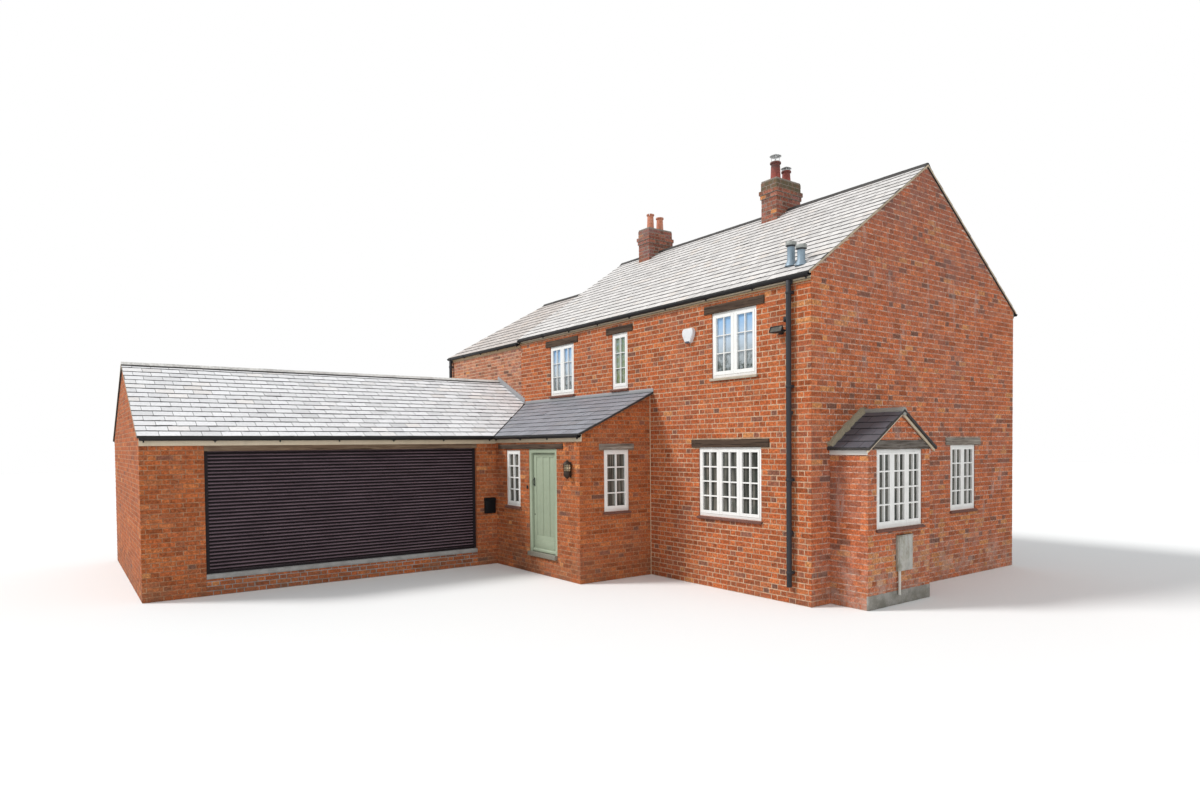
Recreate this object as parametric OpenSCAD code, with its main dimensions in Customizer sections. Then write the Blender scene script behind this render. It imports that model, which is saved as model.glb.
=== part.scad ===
// Detached brick cottage: two-storey main house with a gabled slate roof, a hipped
// two-storey extension on its left, a low garage wing set square to the front, a
// lean-to porch in the corner between them and a box bay on the gable.
// X runs along the front towards the gable, Y from the front to the back, Z up.
// House coordinates start at the foot of the corner of front wall and gable wall.

/* [Main house] */
// Width of the gable wall, front to back
house_w = 6150; // [5100:10:7400]
// Length of the main house along its front
main_l = 8370; // [8000:10:10100]
// Height of the brickwork under the slates at the outer face of the front wall
eaves_z = 4945; // [4920:5:5900]
// Pitch of the main and extension roofs in degrees
main_pitch = 34.9; // [30:0.1:41]
// Thickness of the old solid brick walls
wall_t = 230; // [190:5:330]
// Surface of the ground floor
ground_floor_z = 400; // [380:5:450]
// Surface of the upper floor
upper_floor_z = 2780; // [2650:10:3100]
// Thickness of the floors
floor_t = 150; // [100:10:200]
// Thickness of the slates with their battens
roof_t = 30; // [25:5:60]
// How far the slates reach past the face of a wall at the eaves
roof_over = 75; // [60:5:110]
// How far the slates reach past a gable
verge = 30; // [10:5:60]

/* [Extension] */
// Length of the extension along the front
ext_l = 3820; // [3200:10:4600]
// Depth of the extension, front to back
ext_w = 3770; // [3200:10:4500]
// How far the extension's slates lie under those of the main roof
ext_drop = 60; // [55:5:200]

/* [Garage wing] */
// Distance of the wing's front from the gable wall
wing_x = 6680; // [6200:10:7600]
// Depth of the wing from its front to its back wall
wing_w = 5700; // [4800:10:6800]
// How far the wing stands out from the front of the house
wing_l = 7900; // [7200:10:9400]
// Height of the brickwork under the wing's slates
wing_eaves_z = 2630; // [2610:5:2850]
// Pitch of the wing's roof
wing_pitch = 25.6; // [20:0.1:27]
// Thickness of the walls of the wing and the porch
wing_wall_t = 215; // [190:5:300]
// Surface of the garage floor
garage_floor_z = 350; // [300:5:420]
// Width of the garage doorway
garage_door_w = 4930; // [4200:10:5000]
// Distance from the front of the house to the garage doorway
garage_door_y = 2060; // [1900:10:2300]
// Height of the garage doorway above its floor
garage_door_h = 2035; // [1900:5:2060]
// Number of slats on the roller door
slat_count = 34; // [24:1:40]

/* [Porch] */
// Length of the porch along the front
porch_l = 3020; // [2990:10:3600]
// Depth of the porch
porch_d = 1610; // [1500:10:1900]
// Height of the brickwork under the porch's slates
porch_eaves_z = 2625; // [2605:5:2800]
// Pitch of the porch's lean-to roof
porch_pitch = 24.8; // [20:0.1:26]
// How far the porch's slates reach past its side wall
porch_verge = 100; // [40:5:160]
// Distance of the front door's frame from the wing's front
door_x = 1320; // [1250:10:1400]
// Width of the front door's frame
door_frame_w = 972; // [900:2:1080]
// Top of the front door's frame
door_top_z = 2364; // [2300:2:2380]
// Top of the door's stone threshold
threshold_z = 412; // [400:2:420]
// Thickness of the front door
door_t = 44; // [38:1:54]
// Gap round the front door
door_gap = 5; // [5:0.5:8]
// Angle to which the front door stands open
door_open = 0; // [0:5:90]

/* [Bay window] */
// How far the bay stands out from the gable wall
bay_d = 645; // [500:5:900]
// Width of the bay
bay_w = 1620; // [1560:10:1900]
// Distance of the bay's middle from the front of the house
bay_y = 1254; // [1150:2:1400]
// Height of the brickwork under the bay's slates
bay_eaves_z = 2365; // [2345:5:2450]
// Pitch of the bay's roof
bay_pitch = 32.6; // [28:0.1:40]
// Thickness of the bay's walls
bay_wall_t = 200; // [150:5:210]

/* [Windows] */
// Sill height of the upper windows
upper_sill_z = 3525; // [3450:5:3600]
// Height of the upper windows
upper_win_h = 1085; // [950:5:1100]
// Sill height of the ground floor windows
ground_sill_z = 1200; // [1100:5:1300]
// Height of the ground floor windows
ground_win_h = 1170; // [1000:5:1180]
// Depth of a window frame
frame_d = 70; // [60:2:90]
// Width of a window frame's outer member
frame_w = 45; // [35:1:60]
// Width of a casement's stiles and rails
casement_w = 45; // [35:1:60]
// How far a frame lies behind the face of the wall
reveal = 15; // [10:5:80]
// Thickness of the glass
glass_t = 6; // [4:1:20]
// Height of a timber lintel
lintel_h = 135; // [80:5:150]
// How far a lintel reaches past each side of its window
lintel_ear = 170; // [100:10:220]

/* [Chimneys and flues] */
// Width of a chimney stack along the ridge
stack_w = 390; // [340:5:460]
// Width of a chimney stack across the ridge
stack_d = 720; // [600:5:820]
// Height of the top of a stack over the gable's brick apex
stack_rise = 600; // [450:10:800]
// Distance of the right stack's middle from the gable wall
stack_right_x = 3140; // [2600:10:3800]
// Distance of the left stack's middle from the gable wall
stack_left_x = 7070; // [6600:10:7300]
// Outer diameter of a chimney pot
pot_d = 195; // [150:5:240]

/* [Gutters] */
// Outer radius of a half-round gutter
gutter_r = 50; // [45:1:62]
// Thickness of a fascia board
fascia_t = 22; // [18:1:32]
// Diameter of a downpipe
pipe_d = 80; // [60:1:84]

/* [Hidden] */
$fn = 32;
course = 84;                          // one course of bricks with its mortar
seat = 0.3;                           // gap left between pieces that rest on each other
main_rise = tan(main_pitch);
wing_rise = tan(wing_pitch);
porch_rise = tan(porch_pitch);
bay_rise = tan(bay_pitch);
apex_z = eaves_z + main_rise * house_w / 2;
ridge_top_z = apex_z + seat + roof_t / cos(main_pitch);
ext_x0 = -main_l - ext_l;             // outer face of the extension's end wall
ext_eaves_z = eaves_z - ext_drop;
ext_ridge_z = ext_eaves_z + main_rise * ext_w / 2;
gar_x = -wing_x;                      // outer face of the wing's front wall
gar_ridge_x = gar_x - wing_w / 2;
gar_back_x = gar_x - wing_w;
gar_ridge_z = wing_eaves_z + wing_rise * wing_w / 2;
porch_x1 = gar_x + porch_l;           // outer face of the porch's side wall
porch_y = -porch_d;                   // outer face of the porch's front wall
porch_top_z = porch_eaves_z + porch_rise * porch_d;
stack_top_z = apex_z + stack_rise;
gutter_y = fascia_t + seat + gutter_r;  // middle of a gutter from the wall's face
gutter_edge = gutter_y + gutter_r;
gutter_t = 4;
lintel_d = 110;                       // how far a lintel reaches into the wall

bay_over = 80;                        // how far the bay's slates reach past its front

// Middle of the whole house in plan, where the origin is put
x_lo = min(ext_x0 - gutter_edge, gar_back_x - gutter_edge);
x_hi = bay_d + bay_over;
y_lo = -wing_l - verge;
y_hi = house_w + gutter_edge;
mid_x = (x_lo + x_hi) / 2;
mid_y = (y_lo + y_hi) / 2;

// A window: its middle along the wall, width, sill height, height, number of casements,
// and its lintel's reach past each side and height
upper = [upper_sill_z, upper_win_h];
ground = [ground_sill_z, ground_win_h];
function window(mid, w, row, lights, ear = lintel_ear, head = lintel_h) =
  [mid, w, row[0], row[1], lights, ear, head];
// Each wall that has windows: its windows, the turn of its face and the place of its face
front_wall = [[window(-1541, 985, upper, 2), window(-4569, 495, upper, 1), window(-6629, 923, upper, 2),
               window(-1660, 1400, ground, 3)], 0, 0];
gable_wall = [[window(4289, 858, ground, 2)], 90, 0];
rear_wall = [[window(-1541, 985, upper, 2), window(-4569, 985, upper, 2), window(-6929, 985, upper, 2),
              window(-1541, 1400, ground, 3), window(-6129, 1400, ground, 3)], 180, house_w];
ext_rear_wall = [[window(-main_l - ext_l / 2, 985, upper, 2),
                  window(-main_l - ext_l / 2, 985, ground, 2)], 180, ext_w];
ext_end_wall = [[window(ext_w / 2, 923, upper, 2), window(ext_w / 2, 923, ground, 2)], 270, ext_x0];
porch_row = [1232, 1107];
porch_front = [[window(gar_x + 708, 543, porch_row, 1)], 0, porch_y];
porch_side = [[window(-797, 561, porch_row, 1, 110, 110)], 90, porch_x1];
bay_front = [[window(bay_y, 1191, [1160, 1168], 3, 95, 110)], 90, bay_d];
window_walls = [front_wall, gable_wall, rear_wall, ext_rear_wall, ext_end_wall, porch_front,
                porch_side, bay_front];

door_x0 = gar_x + door_x;             // left edge of the front door's frame
door_x1 = door_x0 + door_frame_w;
jamb_w = 75;
jamb_d = 90;
door_setback = 5;                     // frame's outer face behind the wall's face
step_h = 80;                          // height of the stone threshold
jamb_y = porch_y + door_setback;
leaf_y0 = jamb_y + jamb_d - door_t;   // outer face of the door leaf
leaf_x1 = door_x1 - jamb_w - door_gap;
knuckle_r = 7;
hinge_x = leaf_x1 + door_gap / 2;     // the hinge pins stand in the gap, behind the leaf
hinge_y = leaf_y0 + door_t + seat + knuckle_r;
leaf_w = door_frame_w - 2 * jamb_w - 2 * door_gap;
leaf_z0 = threshold_z + door_gap;
leaf_z1 = door_top_z - jamb_w - door_gap;
porch_lintel_z = door_top_z + seat;
porch_lintel_h = 92;
porch_lintel_x0 = gar_x + 130;        // its ends beside the small window and the doorway
porch_lintel_x1 = door_x1 + 222;

// Moves house coordinates so that the origin is under the middle of the house
module placed() { translate([-mid_x, -mid_y, 0]) children(); }

// A box between two corners
module span(a, b) { translate(a) cube(b - a); }

// A profile drawn in Y and Z, run along X from x0 to x1
module along_x(x0, x1) {
  translate([x0, 0, 0]) rotate([90, 0, 90]) linear_extrude(x1 - x0) children();
}

// A profile drawn in X and Z, run along Y from y0 to y1
module along_y(y0, y1) {
  translate([0, y1, 0]) rotate([90, 0, 0]) linear_extrude(y1 - y0) children();
}

// Moves a window's own frame onto its wall: x along the wall from the window's left
// edge as seen from outside, y into the wall from its face, z up from the sill
module on_wall(wall, w) {
  turn = wall[1];
  face = wall[2];
  left = turn < 180 ? w[0] - w[1] / 2 : w[0] + w[1] / 2;
  at = turn % 180 == 0 ? [left, face, w[2]] : [face, left, w[2]];
  translate(at) rotate(turn) children();
}

// Takes a wall's windows and the beds of their lintels out of it
module window_holes(wall, t) {
  for (w = wall[0]) on_wall(wall, w) {
    translate([0, -1, 0]) cube([w[1], t + 2, w[3]]);
    translate([-w[5], -1, w[3] - 1]) cube([w[1] + 2 * w[5], lintel_d + 1, w[6] + 1]);
  }
}

// A wall along X under a slope that rises inwards from its outer face at y = 0
module eaves_wall(x0, x1, t, z, rise) {
  along_x(x0, x1) polygon([[0, 0], [t, 0], [t, z + t * rise], [0, z]]);
}

// Main house walls
module main_front_wall() {
  color("#a4573c") difference() {
    eaves_wall(-main_l, 0, wall_t, eaves_z, main_rise);
    window_holes(front_wall, wall_t);
  }
}
module main_rear_wall() {
  color("#a4573c") difference() {
    back_of(house_w) eaves_wall(-main_l, 0, wall_t, eaves_z, main_rise);
    window_holes(rear_wall, wall_t);
  }
}
module gable_profile() {
  z = eaves_z + wall_t * main_rise;
  polygon([[wall_t, 0], [house_w - wall_t, 0], [house_w - wall_t, z], [house_w / 2, apex_z], [wall_t, z]]);
}
bay_hole_y0 = bay_y - bay_w / 2 + bay_wall_t;
bay_hole_y1 = bay_y + bay_w / 2 - bay_wall_t;
bay_seat_z = 800;                     // top of the window seat inside the bay
bay_head_z = bay_front[0][0][2] + bay_front[0][0][3];
module main_gable_wall() {
  color("#a4573c") difference() {
    along_x(-wall_t, 0) gable_profile();
    window_holes(gable_wall, wall_t);
    span([-wall_t - 1, bay_hole_y0, bay_seat_z], [1, bay_hole_y1, bay_head_z]);
  }
}
module main_left_gable() {
  color("#a4573c") along_x(-main_l, -main_l + wall_t) gable_profile();
}

// Extension walls: the long ones are cut back at the corner, under the hip
module ext_side_wall() {
  intersection() {
    eaves_wall(ext_x0, -main_l, wall_t, ext_eaves_z, main_rise);
    along_y(0, wall_t)
      polygon([[ext_x0, 0], [-main_l, 0], [-main_l, ext_eaves_z + ext_l * main_rise],
               [ext_x0, ext_eaves_z]]);
  }
}
module extension_front_wall() {
  color("#b0735a") ext_side_wall();
}
module extension_rear_wall() {
  color("#b0735a") difference() {
    back_of(ext_w) ext_side_wall();
    window_holes(ext_rear_wall, wall_t);
  }
}
module extension_end_wall() {
  color("#b0735a") difference() {
    along_y(wall_t, ext_w - wall_t)
      polygon([[ext_x0, 0], [ext_x0 + wall_t, 0], [ext_x0 + wall_t, ext_eaves_z + wall_t * main_rise],
               [ext_x0, ext_eaves_z]]);
    window_holes(ext_end_wall, wall_t);
  }
}

// One roof slope: it starts at the face of a wall at y = 0 and rises over a run in y
module slope_slab(x0, x1, run, over, z, rise, t) {
  tv = t * sqrt(1 + rise * rise);
  z0 = z + seat;
  along_x(x0, x1)
    polygon([[-over, z0 - over * rise], [run, z0 + run * rise], [run, z0 + run * rise + tv],
             [-over, z0 - over * rise + tv]]);
}
module back_of(w) { translate([0, w, 0]) mirror([0, 1, 0]) children(); }

module main_slope() {
  slope_slab(-main_l - verge, verge, house_w / 2, roof_over, eaves_z, main_rise, roof_t);
}
module main_roof_front() { color("#b9b6b1") main_slope(); }
module main_roof_rear() { color("#b9b6b1") back_of(house_w) main_slope(); }

// A row of ridge tiles over two slopes; the row runs along X at y = 0
tile_l = 450;
tile_w = 130;
tile_t = 14;
tile_top = 46;                        // height of a tile's crown over the slates
crown_w = 30;                         // half the width of its crown
tile_step = 2;                        // every second tile lies this much higher
module ridge_row(x0, x1, z, rise) {
  n = max(1, round((x1 - x0) / tile_l));
  step = (x1 - x0) / n;
  drop = tile_w * rise;
  for (i = [0 : n - 1])
    along_x(x0 + i * step, x0 + (i + 1) * step) {
      lift = i % 2 * tile_step;
      polygon([[-tile_w, z - drop + seat], [0, z + seat], [tile_w, z - drop + seat],
               [tile_w, z - drop + tile_t + lift], [crown_w, z + tile_top + lift],
               [-crown_w, z + tile_top + lift], [-tile_w, z - drop + tile_t + lift]]);
    }
}
module main_ridge_tiles() {
  stack_l = -stack_left_x;
  stack_r = -stack_right_x;
  translate([0, house_w / 2, 0]) {
    ridge_row(-main_l - verge, stack_l - stack_w / 2 - seat, ridge_top_z, main_rise);
    ridge_row(stack_l + stack_w / 2 + seat, stack_r - stack_w / 2 - seat, ridge_top_z, main_rise);
    ridge_row(stack_r + stack_w / 2 + seat, verge, ridge_top_z, main_rise);
  }
}

// Extension roof: two slopes and a hip that meet at mitres
module ext_slope() {
  intersection() {
    slope_slab(ext_x0 - roof_over, -main_l, ext_w / 2, roof_over, ext_eaves_z, main_rise, roof_t);
    linear_extrude(2 * eaves_z)
      polygon([[ext_x0 - roof_over, -roof_over], [-main_l, -roof_over], [-main_l, ext_w / 2],
               [ext_x0 + ext_w / 2, ext_w / 2]]);
  }
}
module extension_roof_front() { color("#b9b6b1") ext_slope(); }
module extension_roof_rear() { color("#b9b6b1") back_of(ext_w) ext_slope(); }
module extension_roof_hip() {
  color("#b9b6b1") intersection() {
    translate([ext_x0, ext_w / 2, 0]) rotate([0, 0, -90])
      slope_slab(-ext_w / 2 - roof_over, ext_w / 2 + roof_over, ext_w / 2, roof_over, ext_eaves_z,
                 main_rise, roof_t);
    linear_extrude(2 * eaves_z)
      polygon([[ext_x0 - roof_over, -roof_over], [ext_x0 + ext_w / 2, ext_w / 2],
               [ext_x0 - roof_over, ext_w + roof_over]]);
  }
}
module extension_ridge_tiles() {
  top = ext_ridge_z + seat + roof_t / cos(main_pitch);
  translate([0, ext_w / 2, 0])
    ridge_row(ext_x0 + ext_w / 2, -main_l - verge - seat, top, main_rise);
}

// Chimney stacks sit over the ridge and carry two oversailing courses
left_stack_drop = 50;                 // how much lower the left stack ends
oversail = [18, 36, 6];               // how far its courses stand out, from the lowest
flaunch_h = 30;
flaunch_in = [12, 70];                // mortar's edge and top behind the stack's face
module stack_block(x, grow, z0, z1) {
  span([x - stack_w / 2 - grow, house_w / 2 - stack_d / 2 - grow, z0],
       [x + stack_w / 2 + grow, house_w / 2 + stack_d / 2 + grow, z1]);
}
module flaunching(half, top) {
  foot = half - flaunch_in[0];
  crown = half - flaunch_in[1];
  polygon([[-foot, top - 1], [foot, top - 1], [foot, top], [crown, top + flaunch_h],
           [-crown, top + flaunch_h], [-foot, top]]);
}
module stack(x, top) {
  foot_z = ridge_top_z + seat;
  color("#8f4f3c") {
    difference() {
      union() {
        stack_block(x, 0, ridge_top_z - stack_d * main_rise, top);
        stack_block(x, oversail[0], top - 4 * course, top - 3 * course);
        stack_block(x, oversail[1], top - 3 * course, top - 2 * course);
        stack_block(x, oversail[2], top - 2 * course, top);
        intersection() {
          translate([0, house_w / 2, 0]) along_x(x - stack_w, x + stack_w) flaunching(stack_d / 2, top);
          translate([x, 0, 0]) along_y(0, house_w) flaunching(stack_w / 2, top);
        }
      }
      along_x(x - stack_w, x + stack_w)
        polygon([[house_w / 2 - stack_d, foot_z - stack_d * main_rise], [house_w / 2, foot_z],
                 [house_w / 2 + stack_d, foot_z - stack_d * main_rise],
                 [house_w / 2, foot_z - 2 * stack_d * main_rise]]);
    }
  }
}
module chimney_stacks() {
  stack(-stack_right_x, stack_top_z);
  stack(-stack_left_x, stack_top_z - left_stack_drop);
}

// Tapered clay pots with a rolled rim, open through their middle. The third one's rim
// is notched like a crown.
module clay_pot(d, h) {
  rotate_extrude($fn = 40)
    polygon([[d / 2 - 22, 0], [d / 2 + 6, 0], [d / 2 + 4, 30], [d / 2 - 8, h - 60], [d / 2 - 8, h - 44],
             [d / 2 + 12, h - 34], [d / 2 + 12, h - 6], [d / 2 + 4, h], [d / 2 - 28, h], [d / 2 - 28, 30]]);
}
// Each pot: its place across and along the stack, diameter, height and base
base_right = stack_top_z + flaunch_h + seat;
base_left = base_right - left_stack_drop;
pots = [[-stack_right_x, -160, pot_d, 378, base_right],
        [-stack_right_x, 165, pot_d - 20, 268, base_right],
        [-stack_left_x, -150, pot_d - 30, 380, base_left],
        [-stack_left_x, 150, pot_d - 25, 345, base_left]];
notch_w = 26;
notch_h = 45;
module chimney_pots() {
  color("#9c4a3a") for (i = [0 : 3]) {
    p = pots[i];
    translate([p[0], house_w / 2 + p[1], p[4]]) difference() {
      clay_pot(p[2], p[3]);
      if (i == 2) for (a = [0 : 60 : 120])
        rotate(a) translate([-p[2], -notch_w / 2, p[3] - notch_h]) cube([2 * p[2], notch_w, notch_h + 1]);
    }
  }
}
// Cowls on the right stack's pots: a collar, four legs and a cap
cowl_lift = [110, 40];
cowl_cap_h = 46;
collar_h = 12;
leg_w = 16;
module pot_cowls() {
  color("#4a4d4f") for (i = [0, 1]) {
    p = pots[i];
    translate([p[0], house_w / 2 + p[1], p[4] + p[3] + seat]) {
      difference() {
        cylinder(d = p[2] - 10, h = collar_h);
        translate([0, 0, -1]) cylinder(d = p[2] - 60, h = collar_h + 2);
      }
      for (a = [45 : 90 : 315]) rotate(a)
        translate([p[2] / 2 - 25, -leg_w / 2, collar_h - 2]) cube([10, leg_w, cowl_lift[i]]);
      translate([0, 0, collar_h - 4 + cowl_lift[i]])
        cylinder(d1 = p[2] + 40, d2 = 40, h = cowl_cap_h, $fn = 48);
    }
  }
}

// Two flue terminals on the front slope near the gable: place, and height over the slates
flues = [[-590, 280, 353], [-340, 210, 295]];
flue_d = 118;
flue_cap = [168, 60];                 // its diameter and height
flue_foot = 80;                       // how far the pipe starts below the slates
flue_skirt = [80, 90];                // how much wider its skirt is, and the skirt's height
module roof_flues() {
  color("#8f9ba3") for (f = flues) {
    z = eaves_z + f[1] * main_rise + roof_t / cos(main_pitch);
    difference() {
      translate([f[0], f[1], z - flue_foot]) {
        cylinder(d = flue_d, h = flue_foot + f[2] - 1);
        translate([0, 0, flue_foot + f[2] - flue_cap[1]]) cylinder(d = flue_cap[0], h = flue_cap[1]);
        translate([0, 0, flue_foot - 20])
          cylinder(d1 = flue_d + flue_skirt[0], d2 = flue_d + 2, h = flue_skirt[1]);
      }
      slope_slab(-main_l, verge, house_w / 2, roof_over * 3, eaves_z - 300, main_rise,
                 roof_t + (300 + seat) * cos(main_pitch));
    }
  }
}

// Floors
module ground_floors() {
  z0 = ground_floor_z - floor_t;
  color("#8d8a84") {
    span([-main_l + wall_t, wall_t, z0], [-wall_t, house_w - wall_t, ground_floor_z]);
    span([ext_x0 + wall_t, wall_t, z0], [-main_l, ext_w - wall_t, ground_floor_z]);
    span([gar_x, porch_y + wing_wall_t, z0], [porch_x1 - wing_wall_t, 0, ground_floor_z]);
    span([gar_back_x + wing_wall_t, -wing_l + wing_wall_t, garage_floor_z - floor_t],
         [gar_x - wing_wall_t, 0, garage_floor_z]);
  }
}
module upper_floors() {
  z0 = upper_floor_z - floor_t;
  color("#b08d5e") {
    span([-main_l + wall_t, wall_t, z0], [-wall_t, house_w - wall_t, upper_floor_z]);
    span([ext_x0 + wall_t, wall_t, z0], [-main_l, ext_w - wall_t, upper_floor_z]);
  }
}

// A casement window seen from its own front, which faces -Y; its outer corner is at 0
glass_in = 30;                        // glass behind the frame's outer face
rebate = 12;                          // how far the glass reaches behind the casement
function pane_x0(i, w, n) = frame_w + i * (w - frame_w) / n + casement_w;
function pane_x1(i, w, n) = (i + 1) * (w - frame_w) / n - casement_w;
module pane(i, w, h, n, grow, y0, y1) {
  edge = frame_w + casement_w - grow;
  span([pane_x0(i, w, n) - grow, y0, edge], [pane_x1(i, w, n) + grow, y1, h - edge]);
}
module window_unit(w, h, n) {
  difference() {
    cube([w, frame_d, h]);
    for (i = [0 : n - 1]) {
      pane(i, w, h, n, 0, -1, frame_d + 1);
      pane(i, w, h, n, rebate, glass_in, frame_d + 1);
    }
  }
}
module glass_unit(w, h, n) {
  for (i = [0 : n - 1]) pane(i, w, h, n, rebate - seat, glass_in + seat, glass_in + seat + glass_t);
}

module window_frames() {
  color("#f2f1ec") for (wall = window_walls) for (w = wall[0])
    on_wall(wall, w) translate([0, reveal, 0]) window_unit(w[1], w[3], w[4]);
}
module window_glass() {
  color("#9fb3bd") for (wall = window_walls) for (w = wall[0])
    on_wall(wall, w) translate([0, reveal, 0]) glass_unit(w[1], w[3], w[4]);
}

// Timber lintels stand a little proud of the brick; one long one spans the porch's
// small window and its doorway
lintel_proud = 22;
module lintels() {
  color("#5c4a3d") {
    for (wall = window_walls) if (wall != porch_front) for (w = wall[0])
      on_wall(wall, w) translate([-w[5], -lintel_proud, w[3]])
        cube([w[1] + 2 * w[5], lintel_d + lintel_proud, w[6]]);
    porch_lintel();
  }
}

// Sills under the windows, sloped to shed water, against the face of the wall
sill_out = 45;
sill_t = 40;
module window_sills() {
  color("#8a6a58") for (wall = window_walls) for (w = wall[0]) on_wall(wall, w) outer_sill(w[1]);
}
module outer_sill(w) {
  along_x(-30, w + 30)
    polygon([[-sill_out, -sill_t - 8], [-seat, -sill_t], [-seat, 0], [-sill_out, -12]]);
}

// Fascia boards under the slates
fascia_h = 135;
wing_fascia_h = 154;
porch_fascia_h = 135;
bay_fascia_h = 115;
ext_board_x = -main_l - verge - 2;    // where the extension's boards end
module fascia(x0, x1, z, rise, h) {
  along_x(x0, x1)
    polygon([[-fascia_t, z - h], [-seat, z - h], [-seat, z - seat * rise],
             [-fascia_t, z - fascia_t * rise]]);
}
module fascias() {
  color("#d8c9ad") {
    fascia(-main_l, 0, eaves_z, main_rise, fascia_h);
    back_of(house_w) fascia(-main_l, 0, eaves_z, main_rise, fascia_h);
    fascia(ext_x0, ext_board_x, ext_eaves_z, main_rise, fascia_h);
    back_of(ext_w) fascia(ext_x0, ext_board_x, ext_eaves_z, main_rise, fascia_h);
    translate([ext_x0, ext_w / 2, 0]) rotate(-90)
      fascia(-ext_w / 2, ext_w / 2, ext_eaves_z, main_rise, fascia_h);
    translate([gar_x, 0, 0]) rotate(90)
      fascia(-wing_l, -porch_d - fascia_t - seat, wing_eaves_z, wing_rise, wing_fascia_h);
    translate([gar_back_x, 0, 0]) rotate(-90) fascia(seat, wing_l, wing_eaves_z, wing_rise, wing_fascia_h);
    translate([0, porch_y, 0])
      fascia(gar_x + seat, porch_x1 + porch_verge - 20, porch_eaves_z, porch_rise, porch_fascia_h);
    bay_boards();
  }
}

// Half-round gutters with stopped ends, hung on the fascias
stop_drop = 34;                       // how far the stopped ends lie below the lip, under the slates
module gutter(x0, x1, z) {
  translate([0, -gutter_y, z]) difference() {
    along_x(x0, x1) intersection() {
      circle(gutter_r, $fn = 40);
      translate([-gutter_r, -gutter_r]) square([2 * gutter_r, gutter_r]);
    }
    along_x(x0 + gutter_t, x1 - gutter_t) circle(gutter_r - gutter_t, $fn = 40);
    along_x(x0 - 1, x1 + 1) intersection() {
      circle(gutter_r - gutter_t, $fn = 40);
      translate([-gutter_r, -stop_drop]) square([2 * gutter_r, gutter_r]);
    }
  }
}
steep_drop = 37;                      // how far a gutter's lip lies below the top of the wall
flat_drop = 24;
porch_drop = 18;
gutter_z = eaves_z - steep_drop;
ext_gutter_z = ext_eaves_z - steep_drop;
wing_gutter_z = wing_eaves_z - flat_drop;
porch_gutter_z = porch_eaves_z - porch_drop;
module gutters() {
  color("#2b2b2c") {
    gutter(-main_l, verge, gutter_z);
    back_of(house_w) gutter(-main_l, verge, gutter_z);
    gutter(ext_x0 - gutter_r, -main_l - verge, ext_gutter_z);
    back_of(ext_w) gutter(ext_x0 - gutter_r, -main_l - verge, ext_gutter_z);
    translate([ext_x0, ext_w / 2, 0]) rotate(-90)
      gutter(-ext_w / 2 + seat, ext_w / 2 - seat, ext_gutter_z);
    translate([gar_x, 0, 0]) rotate(90) gutter(-wing_l, -porch_d - gutter_edge - seat, wing_gutter_z);
    translate([gar_back_x, 0, 0]) rotate(-90) gutter(seat, wing_l, wing_gutter_z);
    translate([0, porch_y, 0]) gutter(gar_x + roof_over + 2 * seat, porch_x1 + porch_verge, porch_gutter_z);
  }
}

// Downpipes with clips that reach the wall
module downpipe(z0, z1) {
  difference() {
    cylinder(d = pipe_d, h = z1 - z0);
    translate([0, 0, -1]) cylinder(d = pipe_d - 6, h = z1 - z0 + 2);
  }
}
clip_in = 200;                        // distance of the first clip from a pipe's end
module pipe_run(x, z0, z1, clips) {
  translate([x, -gutter_y, z0]) {
    downpipe(z0, z1);
    step = (z1 - z0 - 2 * clip_in) / max(1, clips - 1);
    for (i = [0 : clips - 1]) translate([0, 0, clip_in + i * step]) difference() {
      union() {
        cylinder(d = pipe_d + 14, h = 40);
        translate([-pipe_d / 2 - 10, 0, 0]) cube([pipe_d + 20, gutter_y - seat, 40]);
      }
      translate([0, 0, -1]) cylinder(d = pipe_d - 2, h = 42);
    }
  }
}
pipe_x = -351;
pipe_foot_z = 260;
pipe_clips = 4;
module downpipes() {
  color("#232325") {
    pipe_run(pipe_x, pipe_foot_z, gutter_z - gutter_r, pipe_clips);
    pipe_run(ext_x0 + 80, wing_eaves_z + 420, ext_gutter_z - gutter_r, 2);
    back_of(house_w) pipe_run(pipe_x, pipe_foot_z, gutter_z - gutter_r, pipe_clips);
  }
}

// Garage wing walls
module wing_wall(x0, x1, t) {
  // drawn as a wall along X facing -Y, for turning into place
  along_x(x0, x1) polygon([[0, 0], [t, 0], [t, wing_eaves_z + t * wing_rise], [0, wing_eaves_z]]);
}
garage_door_y1 = garage_door_y + garage_door_w;
module garage_pier_left() {
  color("#a0583f") translate([gar_x, 0, 0]) rotate(90) wing_wall(-wing_l, -garage_door_y1, wing_wall_t);
}
module garage_wall_right() {
  color("#a0583f") translate([gar_x, 0, 0]) rotate(90) wing_wall(-garage_door_y, 0, wing_wall_t);
}
module garage_rear_wall() {
  color("#a0583f") translate([gar_back_x, 0, 0]) rotate(-90) wing_wall(0, wing_l, wing_wall_t);
}
module garage_end_wall() {
  x0 = gar_back_x + wing_wall_t;
  x1 = gar_x - wing_wall_t;
  z = wing_eaves_z + wing_wall_t * wing_rise;
  color("#a0583f") along_y(-wing_l, -wing_l + wing_wall_t)
    polygon([[x0, 0], [x1, 0], [x1, z], [gar_ridge_x, gar_ridge_z], [x0, z]]);
}
module garage_beam() {
  z0 = garage_floor_z + garage_door_h;
  color("#4f4038") translate([gar_x, 0, 0]) rotate(90)
    along_x(-garage_door_y1, -garage_door_y)
      polygon([[0, z0], [wing_wall_t, z0], [wing_wall_t, wing_eaves_z + wing_wall_t * wing_rise],
               [0, wing_eaves_z]]);
}
module garage_threshold() {
  color("#9a958c") span([gar_x - wing_wall_t, -garage_door_y1, 0], [gar_x, -garage_door_y, garage_floor_z]);
}

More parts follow.
